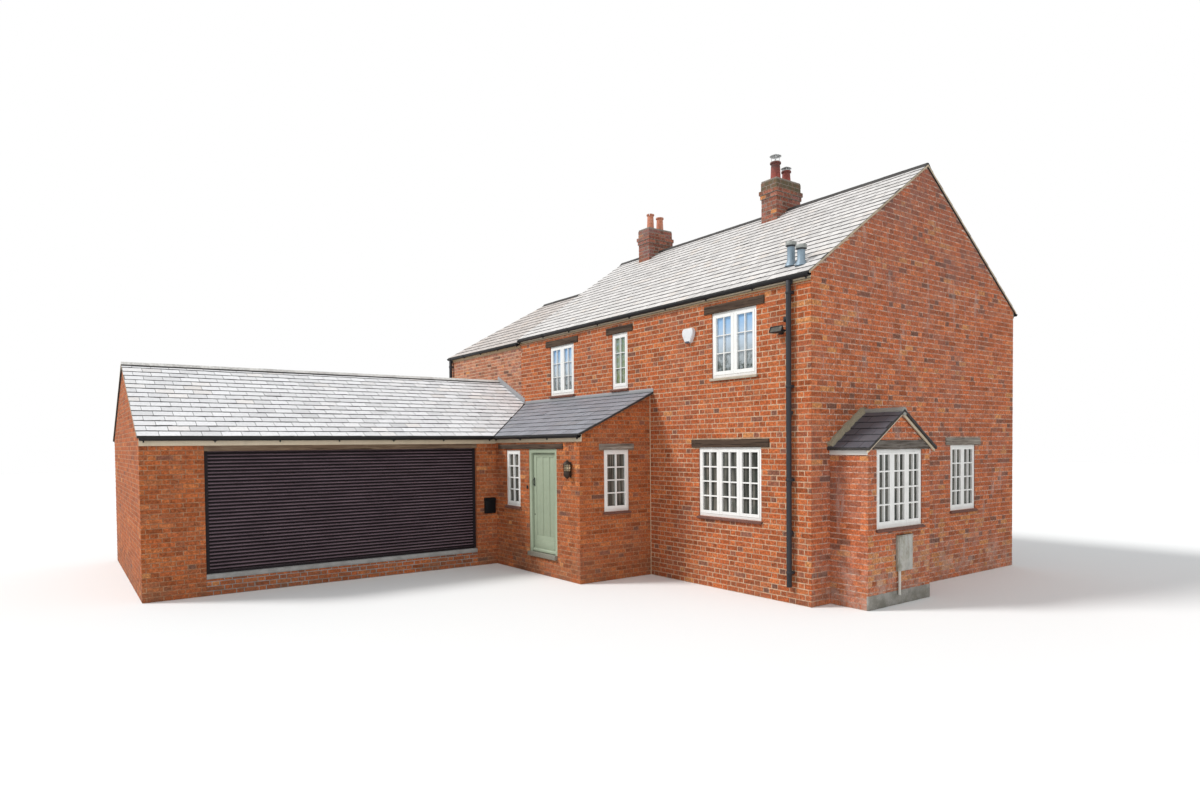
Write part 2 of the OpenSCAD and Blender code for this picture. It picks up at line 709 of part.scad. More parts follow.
// Roller door: a curtain of curved slats between two guides
door_in = 90;                         // curtain behind the face of the wing
slat_depth = 9;
module roller_door() {
  n = slat_count;
  h = garage_door_h - 40 - 2 * seat;
  step = h / n;
  bulge = [for (i = [0 : n - 1]) for (k = [0 : 3])
           [-slat_depth * sin(k * 60), i * step + k * step / 4 + 40]];
  color("#33252a") translate([gar_x - door_in, 0, garage_floor_z + seat]) rotate(90) {
    along_x(-garage_door_y1 + 60, -garage_door_y - 60)
      polygon(concat([[8, 40], [-2, 40]], bulge, [[0, 40 + h], [8, 40 + h]]));
    span([-garage_door_y1 + 60, -12, 0], [-garage_door_y - 60, 12, 40]);
    for (x = [-garage_door_y1 + seat, -garage_door_y - 60])
      span([x, -25, 0], [x + 60 - seat, 25, garage_door_h - 2 * seat]);
  }
}

// Garage roof, cut along the valley where the porch's roof meets it
valley_top_x = gar_x - (porch_top_z - wing_eaves_z) / wing_rise;
valley_foot_y = porch_y - roof_over;
valley_foot_x = gar_x - (porch_eaves_z - roof_over * porch_rise - wing_eaves_z) / wing_rise;
valley_k = valley_foot_y / (valley_foot_x - valley_top_x);
valley_edge_y = valley_k * (gar_x + roof_over - valley_top_x);
valley_gap = 2 * seat;
module garage_roof_front() {
  color("#96969c") intersection() {
    translate([gar_x, 0, 0]) rotate(90)
      slope_slab(-wing_l - verge, 0, wing_w / 2, roof_over, wing_eaves_z, wing_rise, roof_t);
    linear_extrude(2 * eaves_z)
      polygon([[gar_ridge_x, -wing_l - verge], [gar_x + roof_over, -wing_l - verge],
               [gar_x + roof_over, valley_edge_y - valley_gap], [valley_top_x - valley_gap, 0],
               [gar_ridge_x, 0]]);
  }
}
module garage_roof_rear() {
  color("#96969c") translate([gar_back_x, 0, 0]) rotate(-90)
    slope_slab(0, wing_l + verge, wing_w / 2, roof_over, wing_eaves_z, wing_rise, roof_t);
}
module garage_ridge_tiles() {
  translate([gar_ridge_x, 0, 0]) rotate(90)
    ridge_row(-wing_l - verge, -2 * seat - lead_t, gar_ridge_z + seat + roof_t / cos(wing_pitch),
              wing_rise);
}
module ridge_tiles() {
  color("#5d5753") {
    main_ridge_tiles();
    extension_ridge_tiles();
    garage_ridge_tiles();
  }
}

// Porch walls: the front wall is parted at the doorway
module porch_front_mass() {
  difference() {
    translate([0, porch_y, 0])
      along_x(gar_x, porch_x1)
        polygon([[0, 0], [wing_wall_t, 0], [wing_wall_t, porch_eaves_z + wing_wall_t * porch_rise],
                 [0, porch_eaves_z]]);
    for (w = porch_front[0]) on_wall(porch_front, w)
      translate([0, -1, 0]) cube([w[1], wing_wall_t + 2, w[3]]);
    span([door_x0, porch_y - 1, threshold_z - step_h], [door_x1, 0, door_top_z]);
    span([porch_lintel_x0, porch_y - 1, door_top_z],
         [porch_lintel_x1, 0, porch_lintel_z + porch_lintel_h + seat]);
  }
}
module porch_wall_left() {
  color("#b0654a") intersection() {
    porch_front_mass();
    span([gar_x - 1, porch_y - 1, -1], [door_x0, 0, eaves_z]);
  }
}
module porch_wall_right() {
  color("#b0654a") intersection() {
    porch_front_mass();
    span([door_x1, porch_y - 1, -1], [porch_x1 + 1, 0, eaves_z]);
  }
}
module porch_wall_centre() {
  color("#b0654a") intersection() {
    porch_front_mass();
    span([door_x0, porch_y - 1, -1], [door_x1, 0, eaves_z]);
  }
}
module porch_side_wall() {
  y0 = porch_y + wing_wall_t;
  color("#b0654a") difference() {
    along_x(porch_x1 - wing_wall_t, porch_x1)
      polygon([[y0, 0], [0, 0], [0, porch_top_z], [y0, porch_eaves_z + wing_wall_t * porch_rise]]);
    window_holes(porch_side, wing_wall_t);
  }
}
module porch_lintel() {
  span([porch_lintel_x0, porch_y - lintel_proud, porch_lintel_z],
       [porch_lintel_x1, porch_y + wing_wall_t, porch_lintel_z + porch_lintel_h]);
}
module porch_roof() {
  color("#85868d") intersection() {
    translate([0, porch_y, 0])
      slope_slab(valley_top_x - 10, porch_x1 + porch_verge, porch_d, roof_over, porch_eaves_z,
                 porch_rise, roof_t);
    linear_extrude(2 * eaves_z)
      polygon([[valley_top_x, 0], [valley_foot_x, valley_foot_y], [porch_x1 + porch_verge, valley_foot_y],
               [porch_x1 + porch_verge, 0]]);
  }
}

// Front door: frame with stone threshold, boarded leaf and its handle
module door_frame() {
  color("#93a68c") {
    span([door_x0, jamb_y, threshold_z], [door_x0 + jamb_w, jamb_y + jamb_d, door_top_z]);
    span([door_x1 - jamb_w, jamb_y, threshold_z], [door_x1, jamb_y + jamb_d, door_top_z]);
    span([door_x0 + jamb_w, jamb_y, door_top_z - jamb_w], [door_x1 - jamb_w, jamb_y + jamb_d, door_top_z]);
  }
  color("#a79f90")
    span([door_x0, porch_y - 60, threshold_z - step_h], [door_x1, porch_y + wing_wall_t, threshold_z]);
}
module hung() {
  translate([hinge_x, hinge_y, 0]) rotate(-door_open) translate([-hinge_x, -hinge_y, 0]) children();
}
hinge_h = 90;
module door_hinges() {
  color("#6b6e70") for (z = [leaf_z0 + 180, (leaf_z0 + leaf_z1 - hinge_h) / 2, leaf_z1 - 180 - hinge_h])
    translate([hinge_x, hinge_y, z]) {
      cylinder(r = knuckle_r, h = hinge_h);
      span([door_gap / 2, -knuckle_r, 0], [door_gap / 2 + 28, -knuckle_r + 2.5, hinge_h]);
    }
}
board_count = 6;
module front_door() {
  x0 = leaf_x1 - leaf_w;
  board = leaf_w / board_count;
  color("#93a68c") hung() difference() {
    span([x0, leaf_y0, leaf_z0], [leaf_x1, leaf_y0 + door_t, leaf_z1]);
    for (i = [1 : board_count - 1])
      translate([x0 + i * board, leaf_y0, leaf_z0 + 140]) rotate(45)
        translate([-4, -4, 0]) cube([8, 8, leaf_z1 - leaf_z0 - 220]);
  }
}
handle_z = 1735;
module door_handle() {
  x = leaf_x1 - leaf_w + 42;
  z = handle_z;
  color("#2a2a2a") hung() {
    span([x - 22, leaf_y0 - 6, z - 110], [x + 22, leaf_y0 - seat, z + 110]);
    translate([x, leaf_y0 - 6, z]) rotate([90, 0, 0]) cylinder(d = 18, h = 40);
    translate([x, leaf_y0 - 42, z - 60]) cylinder(d = 16, h = 120);
  }
}

// Bay: front wall with a gable, two cheeks and a slated roof
bay_y0 = bay_y - bay_w / 2;
bay_y1 = bay_y + bay_w / 2;
bay_apex_z = bay_eaves_z + bay_rise * bay_w / 2;
module bay_walls() {
  color("#a4573c") difference() {
    along_x(0, bay_d)
      polygon([[bay_y0, 0], [bay_y1, 0], [bay_y1, bay_eaves_z], [bay_y, bay_apex_z],
               [bay_y0, bay_eaves_z]]);
    along_x(-1, bay_d - bay_wall_t)
      polygon([[bay_hole_y0, bay_seat_z], [bay_hole_y1, bay_seat_z], [bay_hole_y1, bay_head_z],
               [bay_hole_y0, bay_head_z]]);
    window_holes(bay_front, bay_wall_t);
  }
}
bay_roof_t = 30;
module bay_slope() {
  slope_slab(seat, bay_d + bay_over, bay_w / 2, roof_over, bay_eaves_z, bay_rise, bay_roof_t);
}
module bay_roof() {
  color("#3f414b") translate([0, bay_y0, 0]) {
    bay_slope();
    back_of(bay_w) bay_slope();
  }
}
// Boards of the bay: fascias under its eaves and barge boards under the front edge of
// its slates
barge_t = 30;
barge_h = 42;
module bay_boards() {
  translate([0, bay_y0, 0]) {
    fascia(seat, bay_d, bay_eaves_z, bay_rise, bay_fascia_h);
    back_of(bay_w) fascia(seat, bay_d, bay_eaves_z, bay_rise, bay_fascia_h);
  }
  reach = roof_over - 10;
  foot_z = bay_eaves_z - reach * bay_rise;
  barge_x = bay_d + lintel_proud + seat;
  along_x(barge_x, barge_x + barge_t)
    polygon([[bay_y0 - reach, foot_z], [bay_y, bay_apex_z], [bay_y1 + reach, foot_z],
             [bay_y1 + reach, foot_z - barge_h], [bay_y, bay_apex_z - barge_h],
             [bay_y0 - reach, foot_z - barge_h]]);
}

// Lead: stepped flashing over the wing's roof and an apron over the porch
lead_t = 3;
step_count = 16;
step_rise = 120;                      // height of a step's top edge over the slates
apron_h = 100;
module lead_flashings() {
  dx = (valley_top_x - gar_ridge_x) / step_count;
  ridge_z = gar_ridge_z + 2 * seat + roof_t / cos(wing_pitch);
  valley_z = ridge_z - (valley_top_x - gar_ridge_x) * wing_rise;
  apron_z = porch_top_z + 2 * seat + roof_t / cos(porch_pitch);
  apron_top = min(apron_z + apron_h, upper_sill_z - sill_t - 15);
  color("#9aa0a4") along_y(-lead_t - seat, -seat) {
    polygon(concat([[valley_top_x, valley_z], [gar_ridge_x, ridge_z]],
                   [for (i = [0 : step_count - 1]) for (k = [0, 1])
                    [gar_ridge_x + (i + k) * dx, ridge_z + step_rise - i * dx * wing_rise]]));
    polygon([[valley_top_x + 30, apron_z], [porch_x1 + porch_verge, apron_z],
             [porch_x1 + porch_verge, apron_top], [valley_top_x + 30, apron_top]]);
  }
}

// Fittings on the walls, and where each hangs: its place along the wall and its foot
alarm_at = [-2566, 4179];
flood_at = [-525, 4060];
lantern_at = [porch_x1 - 270, 1824];
post_at = [-1903, 1050];
module alarm_box() {
  w = 280;
  h = 252;
  color("#f0f0ee") translate([alarm_at[0], -seat, alarm_at[1]]) rotate([90, 0, 0]) linear_extrude(72)
    polygon([[-w / 2, h * 0.62], [-w / 2 + 14, h * 0.88], [-w / 2 + 50, h], [w / 2 - 50, h],
             [w / 2 - 14, h * 0.88], [w / 2, h * 0.62], [w / 5, 0], [-w / 5, 0]]);
}
module floodlight() {
  color("#26282a") translate([flood_at[0], 0, flood_at[1]]) {
    span([-30, -60, 0], [30, -seat, 60]);
    span([-130, -160, 20], [110, -60, 130]);
    span([40, -60, 200], [110, -seat, 280]);
  }
}
module door_lantern() {
  out = 92;
  color("#3a3936") translate([lantern_at[0], porch_y, lantern_at[1]]) {
    translate([0, -out, 0]) cylinder(d1 = 46, d2 = 112, h = 62);
    translate([0, -out, 62]) cylinder(d1 = 112, d2 = 136, h = 176);
    translate([0, -out, 238]) cylinder(d1 = 160, d2 = 46, h = 72);
    translate([0, -out, 310]) cylinder(d = 26, h = 42);
    span([-30, -12, 60], [30, -seat, 300]);
    span([-8, -out, 200], [8, -seat, 220]);
  }
}
module post_box() {
  color("#1c1c1e")
    span([gar_x + seat, post_at[0], post_at[1]], [gar_x + 62, post_at[0] + 248, post_at[1] + 320]);
}
module meter_box() {
  color("#b9bab8") {
    span([bay_d + seat, 1140, 500], [bay_d + 60, 1520, 1040]);
    translate([bay_d + 40, 1180, 150]) cylinder(d = 44, h = 350 - seat);
  }
}

placed() main_front_wall();
placed() main_gable_wall();
placed() main_rear_wall();
placed() main_left_gable();
placed() extension_front_wall();
placed() extension_end_wall();
placed() extension_rear_wall();
placed() garage_pier_left();
placed() garage_wall_right();
placed() garage_end_wall();
placed() garage_rear_wall();
placed() garage_beam();
placed() garage_threshold();
placed() porch_wall_left();
placed() porch_wall_right();
placed() porch_wall_centre();
placed() porch_side_wall();
placed() bay_walls();
placed() ground_floors();
placed() upper_floors();
placed() main_roof_front();
placed() main_roof_rear();
placed() extension_roof_front();
placed() extension_roof_rear();
placed() extension_roof_hip();
placed() garage_roof_front();
placed() garage_roof_rear();
placed() porch_roof();
placed() bay_roof();
placed() ridge_tiles();
placed() lead_flashings();
placed() chimney_stacks();
placed() chimney_pots();
placed() pot_cowls();
placed() roof_flues();
placed() fascias();
placed() gutters();
placed() downpipes();
placed() lintels();
placed() window_sills();
placed() window_frames();
placed() window_glass();
placed() roller_door();
placed() door_frame();
placed() door_hinges();
placed() front_door();
placed() door_handle();
placed() alarm_box();
placed() floodlight();
placed() door_lantern();
placed() post_box();
placed() meter_box();
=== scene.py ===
"""Looks of a detached brick cottage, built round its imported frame.

The frame gives every wall, slope, opening and board. The operators below lay the
bricks and slates on them, glaze the windows, dress the doors, chimneys and gutters,
and finish every node with a material of its own. Run as a script.
"""

import math

import bpy
import numpy as np
from bpy.props import FloatProperty, FloatVectorProperty, PointerProperty
from bpy.types import Operator, Panel, PropertyGroup
from mathutils import Matrix, Vector


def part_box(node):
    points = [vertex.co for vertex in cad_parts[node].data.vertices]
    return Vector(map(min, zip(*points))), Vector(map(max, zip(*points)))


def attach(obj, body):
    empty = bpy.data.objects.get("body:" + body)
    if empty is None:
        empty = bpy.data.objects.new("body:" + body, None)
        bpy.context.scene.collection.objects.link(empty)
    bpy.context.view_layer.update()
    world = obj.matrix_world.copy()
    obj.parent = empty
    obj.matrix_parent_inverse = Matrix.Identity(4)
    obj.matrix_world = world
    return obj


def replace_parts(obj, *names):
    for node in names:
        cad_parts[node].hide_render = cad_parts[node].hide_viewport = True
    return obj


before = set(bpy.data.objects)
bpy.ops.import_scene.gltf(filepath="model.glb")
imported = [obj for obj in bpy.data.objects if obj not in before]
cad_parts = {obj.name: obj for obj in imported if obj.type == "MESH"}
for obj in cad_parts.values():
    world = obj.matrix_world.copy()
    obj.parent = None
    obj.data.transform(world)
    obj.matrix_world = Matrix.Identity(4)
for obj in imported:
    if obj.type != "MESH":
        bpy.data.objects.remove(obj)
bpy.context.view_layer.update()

bl_info = {
    "name": "Detached cottage",
    "version": (1, 0, 0),
    "blender": (4, 5, 0),
    "location": "View3D > Sidebar > Cottage",
    "description": "Brickwork, slates, joinery and fittings of a detached cottage",
    "category": "Object",
}

REBATE = 0.0117  # how far a pane of glass runs into its frame
AIRBRICK = (0.254, 2.388)  # its middle: distance from the porch's corner, height
UPSTAIRS = 3.0  # what lies higher than this is upstairs
EXTENSION_COURSE, BAY_COURSE = 0.079, 0.083  # heights of one course of bricks
LEAST_LENGTH, LEAST_HEIGHT = 0.02, 0.014  # of a brick that is worth laying
CLOSER = 0.05  # a cut brick shorter than this is made one with its neighbour
UP = Vector((0, 0, 1))
EAST, WEST = Vector((1, 0, 0)), Vector((-1, 0, 0))
FRONT, BACK = Vector((0, -1, 0)), Vector((0, 1, 0))


# Places read from the frame

def low(node):
    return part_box(node)[0]


def high(node):
    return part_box(node)[1]


def solids(node):
    """Lowest and highest corners of each separate solid of a node, sorted by place."""
    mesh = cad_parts[node].data
    places = {}
    owner = []
    for v in mesh.vertices:
        key = tuple(round(c, 5) for c in v.co)
        owner.append(places.setdefault(key, len(places)))
    parent = list(range(len(places)))

    def root(i):
        while parent[i] != i:
            parent[i] = parent[parent[i]]
            i = parent[i]
        return i

    for face in mesh.polygons:
        first = root(owner[face.vertices[0]])
        for v in face.vertices[1:]:
            parent[root(owner[v])] = first
    groups = {}
    for key, i in places.items():
        groups.setdefault(root(i), []).append(key)
    boxes = [(Vector(np.min(g, axis=0)), Vector(np.max(g, axis=0))) for g in groups.values()]
    return sorted(boxes, key=lambda b: tuple(b[0]))


def axes(normal):
    """Directions along and up a face with this outward normal."""
    along = UP.cross(normal).normalized()
    return along, normal.cross(along)


def hull(points):
    """Convex outline of 2-D points, anticlockwise."""
    points = sorted(set((round(a, 5), round(b, 5)) for a, b in points))

    def half(seq):
        out = []
        for p in seq:
            while len(out) > 1 and ((out[-1][0] - out[-2][0]) * (p[1] - out[-2][1])
                                    - (out[-1][1] - out[-2][1]) * (p[0] - out[-2][0])) <= 1e-9:
                out.pop()
            out.append(p)
        return out[:-1]

    return half(points) + half(points[::-1])


class Face:
    """A flat outer face of one or more nodes, with its outline along and up the face."""

    def __init__(self, nodes, towards, at=None):
        faces = []
        for node in nodes:
            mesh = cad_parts[node].data
            for f in mesh.polygons:
                if f.normal.dot(towards) > 0.3:
                    corners = [mesh.vertices[i].co.copy() for i in f.vertices]
                    faces.append((f.area, f.normal.copy(), corners))
        if at is None:
            best = max(faces, key=lambda f: f[0] * f[1].dot(towards))
            self.normal, point = best[1], best[2][0]
        else:
            self.normal, point = towards.copy(), towards * at
        self.along, self.up = axes(self.normal)
        reach = self.normal.dot(point)
        flat = [c for _, n, corners in faces for c in corners
                if n.dot(self.normal) > 0.999 and abs(self.normal.dot(c) - reach) < 0.002]
        self.outline = hull([(c.dot(self.along), c.dot(self.up)) for c in flat])
        self.origin = self.normal * reach

    @classmethod
    def panel(cls, towards, a, b):
        """The side of a box that looks this way."""
        face = cls.__new__(cls)
        face.normal = Vector(towards)
        face.along, face.up = axes(face.normal)
        corners = [Vector((x, y, z)) for x in (a[0], b[0]) for y in (a[1], b[1]) for z in (a[2], b[2])]
        reach = max(c.dot(face.normal) for c in corners)
        face.outline = hull([(c.dot(face.along), c.dot(face.up)) for c in corners
                             if c.dot(face.normal) > reach - 1e-6])
        face.origin = face.normal * reach
        return face

    def trim(self, distance):
        """Draws the slanting edges of the outline in."""
        kept = self.outline
        for a, b in zip(self.outline, self.outline[1:] + self.outline[:1]):
            du, dv = b[0] - a[0], b[1] - a[1]
            if min(abs(du), abs(dv)) < 0.2:
                continue
            length = math.hypot(du, dv)
            depths = [((p[1] - a[1]) * du - (p[0] - a[0]) * dv) / length - distance for p in kept]
            cut = []
            for i, (p, q) in enumerate(zip(kept, kept[1:] + kept[:1])):
                here, there = depths[i], depths[(i + 1) % len(kept)]
                if here >= 0:
                    cut.append(p)
                if here * there < 0:
                    t = here / (here - there)
                    cut.append((p[0] + t * (q[0] - p[0]), p[1] + t * (q[1] - p[1])))
            kept = cut
        self.outline = kept

    def point(self, u, v, out=0.0):
        return self.origin + self.along * u + self.up * v + self.normal * out

    def height_at(self, x, y):
        """Height of a roof face over a place in plan."""
        n = self.normal
        return (self.origin.dot(n) - x * n.x - y * n.y) / n.z

    def reach(self, axis, value):
        """Least and greatest of the other coordinate where the outline crosses value."""
        found = []
        outline = self.outline
        for a, b in zip(outline, outline[1:] + outline[:1]):
            if min(a[axis], b[axis]) - 1e-7 <= value <= max(a[axis], b[axis]) + 1e-7:
                if abs(a[axis] - b[axis]) < 1e-7:
                    found += [a[1 - axis], b[1 - axis]]
                else:
                    t = (value - a[axis]) / (b[axis] - a[axis])
                    found.append(a[1 - axis] + t * (b[1 - axis] - a[1 - axis]))
        return (min(found), max(found)) if found else None

    def span(self, axis):
        values = [p[axis] for p in self.outline]
        return min(values), max(values)


# Modelling helpers

def clear_selection():
    if bpy.context.object and bpy.context.object.mode != "OBJECT":
        bpy.ops.object.mode_set(mode="OBJECT")
    bpy.ops.object.select_all(action="DESELECT")


def activate(piece):
    clear_selection()
    piece.select_set(True)
    bpy.context.view_layer.objects.active = piece


def apply_place(piece):
    activate(piece)
    bpy.ops.object.transform_apply(location=True, rotation=True, scale=True)
    return piece


def primitive(kind, name, scale=(1, 1, 1), **options):
    """Adds one of Blender's primitives with nothing else selected, its place in its mesh."""
    clear_selection()
    getattr(bpy.ops.mesh, "primitive_%s_add" % kind)(**options)
    piece = bpy.context.object
    piece.name = piece.data.name = name
    piece.scale = scale
    return apply_place(piece)


def block(name, a, b):
    """A box between two corners."""
    a, b = Vector(a), Vector(b)
    return primitive("cube", name, [abs(c) for c in b - a], size=1, location=(a + b) / 2)


def move(piece, place, scale=(1, 1, 1)):
    piece.location, piece.scale = place, scale
    return apply_place(piece)


def extrude(by):
    bpy.ops.mesh.extrude_region_move(TRANSFORM_OT_translate={"value": by})


def pick(piece, kind, test):
    """Selects the faces, edges or vertices for which test holds, ready for edit mode."""
    mesh = piece.data
    for group in (mesh.vertices, mesh.edges, mesh.polygons):
        group.foreach_set("select", [False] * len(group))
    if kind == "EDGE":
        chosen = [e for e in mesh.edges if test(*(mesh.vertices[i].co for i in e.vertices))]
    elif kind == "FACE":
        chosen = [f for f in mesh.polygons if test(f)]
    else:
        chosen = [v for v in mesh.vertices if test(v.co)]
    for part in chosen:
        part.select = True
        if kind != "VERT":
            for i in part.vertices:
                mesh.vertices[i].select = True


class Edit:
    """Edit mode on one piece, with a choice of faces, edges or vertices selected."""

    def __init__(self, piece, kind="FACE", test=None):
        self.piece, self.kind, self.test = piece, kind, test

    def __enter__(self):
        activate(self.piece)
        if self.test:
            pick(self.piece, self.kind, self.test)
        bpy.ops.object.mode_set(mode="EDIT")
        bpy.ops.mesh.select_mode(type=self.kind)
        if not self.test:
            bpy.ops.mesh.select_all(action="SELECT")
        return self.piece

    def __exit__(self, *_):
        bpy.ops.object.mode_set(mode="OBJECT")


def bevel(piece, width, test, segments=1, **options):
    """Rounds the edges for which test holds."""
    with Edit(piece, "EDGE", test):
        bpy.ops.mesh.bevel(offset=width, segments=segments, affect="EDGES", **options)


def subdivide(piece, cuts, test):
    """Cuts the edges for which test holds into shorter lengths."""
    with Edit(piece, "EDGE", test):
        bpy.ops.mesh.subdivide(number_cuts=cuts)


def sink(piece, test, rim, by, **options):
    """Leaves a rim round the faces for which test holds, and moves what is inside it."""
    with Edit(piece, "FACE", test):
        bpy.ops.mesh.inset(thickness=rim, **options)
        extrude(by)


def modify(piece, kind, **options):
    """Adds a modifier and applies it."""
    activate(piece)
    modifier = piece.modifiers.new(kind.lower(), kind)
    for key, value in options.items():
        setattr(modifier, key, value)
    bpy.ops.object.modifier_apply(modifier=modifier.name)
    return piece


def round_off(piece, width, segments=2, angle=40):
    return modify(piece, "BEVEL", width=width, segments=segments, limit_method="ANGLE",
                  angle_limit=math.radians(angle))


def soft_block(name, a, b, edge, segments=2):
    """A box between two corners with its edges rounded."""
    return round_off(block(name, a, b), edge, segments)


def roughen(piece, depth, size):
    """Makes a surface uneven, as hewn timber or hand-laid mortar is."""
    name = "lumps%s" % size
    lumps = bpy.data.textures.get(name) or bpy.data.textures.new(name, "CLOUDS")
    lumps.noise_scale = size
    return modify(piece, "DISPLACE", texture=lumps, texture_coords="GLOBAL", strength=depth, mid_level=0.5)


def recalculate(piece):
    with Edit(piece):
        bpy.ops.mesh.normals_make_consistent(inside=False)
    return piece


def turn(piece, angle, axis, centre):
    centre = Vector(centre)
    piece.matrix_world = (Matrix.Translation(centre) @ Matrix.Rotation(angle, 4, axis)
                          @ Matrix.Translation(-centre) @ piece.matrix_world)
    return apply_place(piece)


def lathe(name, profile, at=(0, 0, 0), segments=24):
    """Turns a closed shape from (radius, height) pairs, from its foot up."""
    at = Vector(at)
    r, z = profile[0]
    piece = primitive("circle", name, vertices=segments, radius=r, fill_type="NGON", location=at + UP * z)
    with Edit(piece):
        for wider, higher in profile[1:]:
            extrude((0, 0, higher - z))
            bpy.ops.transform.resize(value=(wider / r, wider / r, 1), center_override=at + UP * higher)
            r, z = wider, higher
        bpy.ops.mesh.select_all(action="SELECT")
        bpy.ops.mesh.normals_make_consistent(inside=False)
    return piece


def stud(name, profile, axis, at, segments=16):
    """A small turned thing that stands out of a wall."""
    piece = lathe(name, profile, segments=segments)
    return move(turn(piece, math.pi / 2, axis, (0, 0, 0)), at)


def beam(name, a, b, step=0.09, edge=0.006):
    """A box between two corners, cut into short lengths, its arrises taken off."""
    piece = block(name, a, b)
    size = [abs(q - p) for p, q in zip(a, b)]
    k = size.index(max(size))
    subdivide(piece, max(1, int(size[k] / step)), lambda p, q: abs((q - p)[k]) > 0.5 * size[k])
    return round_off(piece, edge, 2, 60)


def node_copy(node, name):
    """A copy of a node's mesh, its loose corners merged and its flat faces made whole."""
    piece = bpy.data.objects.new(name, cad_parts[node].data.copy())
    piece.data.name = name
    bpy.context.scene.collection.objects.link(piece)
    with Edit(piece):
        bpy.ops.mesh.remove_doubles(threshold=0.00005)
        bpy.ops.mesh.dissolve_limited(angle_limit=math.radians(1))
    return piece


def dress(node, name, look, width=0.003, segments=2, angle=40, body="house", smooth=35):
    """Puts a copy of a node with rounded edges in its place."""
    piece = round_off(node_copy(node, name), width, segments, angle)
    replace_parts(piece, node)
    return finish(piece, look, body, smooth)


def join(name, pieces):
    clear_selection()
    for piece in pieces:
        piece.select_set(True)
    bpy.context.view_layer.objects.active = pieces[0]
    if len(pieces) > 1:
        bpy.ops.object.join()
    pieces[0].name = pieces[0].data.name = name
    return pieces[0]


def finish(piece, look, body="house", smooth=None):
    """Gives a finished piece its material and its body."""
    piece.data.materials.clear()
    piece.data.materials.append(look)
    if smooth:
        activate(piece)
        bpy.ops.object.shade_smooth_by_angle(angle=math.radians(smooth))
    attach(piece, body)
    return piece


class Pattern:
    """One small thing, modelled once, that is laid many times between four corners.

    Its corners lie at x = 0 and length, z = 0 and height, and it stands out towards -y.
    What lies near an end keeps its distance from that end when the thing is stretched."""

    def __init__(self, piece, length, height):
        mesh = piece.data
        co = np.array([v.co for v in mesh.vertices])
        self.s = (co[:, 0] > length / 2).astype(float)
        self.t = (co[:, 2] > height / 2).astype(float)
        self.du = co[:, 0] - self.s * length
        self.dv = co[:, 2] - self.t * height
        self.out = -co[:, 1]
        self.spot = np.c_[co[:, 0] / length, co[:, 2] / height, self.out]
        self.faces = [list(f.vertices) for f in mesh.polygons]
        bpy.data.objects.remove(piece)


def lay(name, batches):
    """Joins every laid thing into one mesh.

    A batch is (pattern, corners, along, up, normal, tones, tilt): corners is (n, 4, 3), in
    the order foot left, foot right, head right, head left; tilt lifts the foot and head."""
    places, loops, totals, tones, spots = [], [], [], [], []
    first = 0
    for pattern, corners, along, up, normal, tone, tilt in batches:
        corners, tone = np.asarray(corners, float), np.asarray(tone, float)
        n, m = len(corners), len(pattern.s)
        if not n:
            continue
        s, t = pattern.s[None, :, None], pattern.t[None, :, None]
        c = corners[:, None]
        at = (c[:, :, 0] * (1 - s) * (1 - t) + c[:, :, 1] * s * (1 - t)
              + c[:, :, 2] * s * t + c[:, :, 3] * (1 - s) * t)
        out = pattern.out[None, :] + tilt[0] * (1 - pattern.t[None, :]) + tilt[1] * pattern.t[None, :]
        at = (at + pattern.du[None, :, None] * np.array(along)
              + pattern.dv[None, :, None] * np.array(up) + out[:, :, None] * np.array(normal))
        places.append(at.reshape(-1, 3))
        flat = np.concatenate([np.array(f) for f in pattern.faces])
        loops.append((flat[None, :] + (np.arange(n) * m)[:, None]).reshape(-1) + first)
        totals.append(np.tile([len(f) for f in pattern.faces], n))
        tones.append(np.repeat(tone, m, axis=0))
        spots.append(np.tile(pattern.spot, (n, 1)))
        first += n * m
    places, loops = np.concatenate(places), np.concatenate(loops)
    totals, tones = np.concatenate(totals), np.concatenate(tones)
    mesh = bpy.data.meshes.new(name)
    mesh.vertices.add(len(places))
    mesh.vertices.foreach_set("co", places.astype(np.float32).ravel())
    mesh.loops.add(len(loops))
    mesh.loops.foreach_set("vertex_index", loops.astype(np.int32))
    mesh.polygons.add(len(totals))
    starts = np.concatenate([[0], np.cumsum(totals)[:-1]])
    mesh.polygons.foreach_set("loop_start", starts.astype(np.int32))
    mesh.polygons.foreach_set("use_smooth", np.zeros(len(totals), bool))
    mesh.update(calc_edges=True)
    tint = mesh.attributes.new("tone", "FLOAT_COLOR", "POINT")
    tint.data.foreach_set("color", np.c_[tones, np.ones(len(tones))].astype(np.float32).ravel())
    spot = mesh.attributes.new("spot", "FLOAT_VECTOR", "POINT")
    spot.data.foreach_set("vector", np.concatenate(spots).astype(np.float32).ravel())
    piece = bpy.data.objects.new(name, mesh)
    bpy.context.scene.collection.objects.link(piece)
    return piece


# Materials

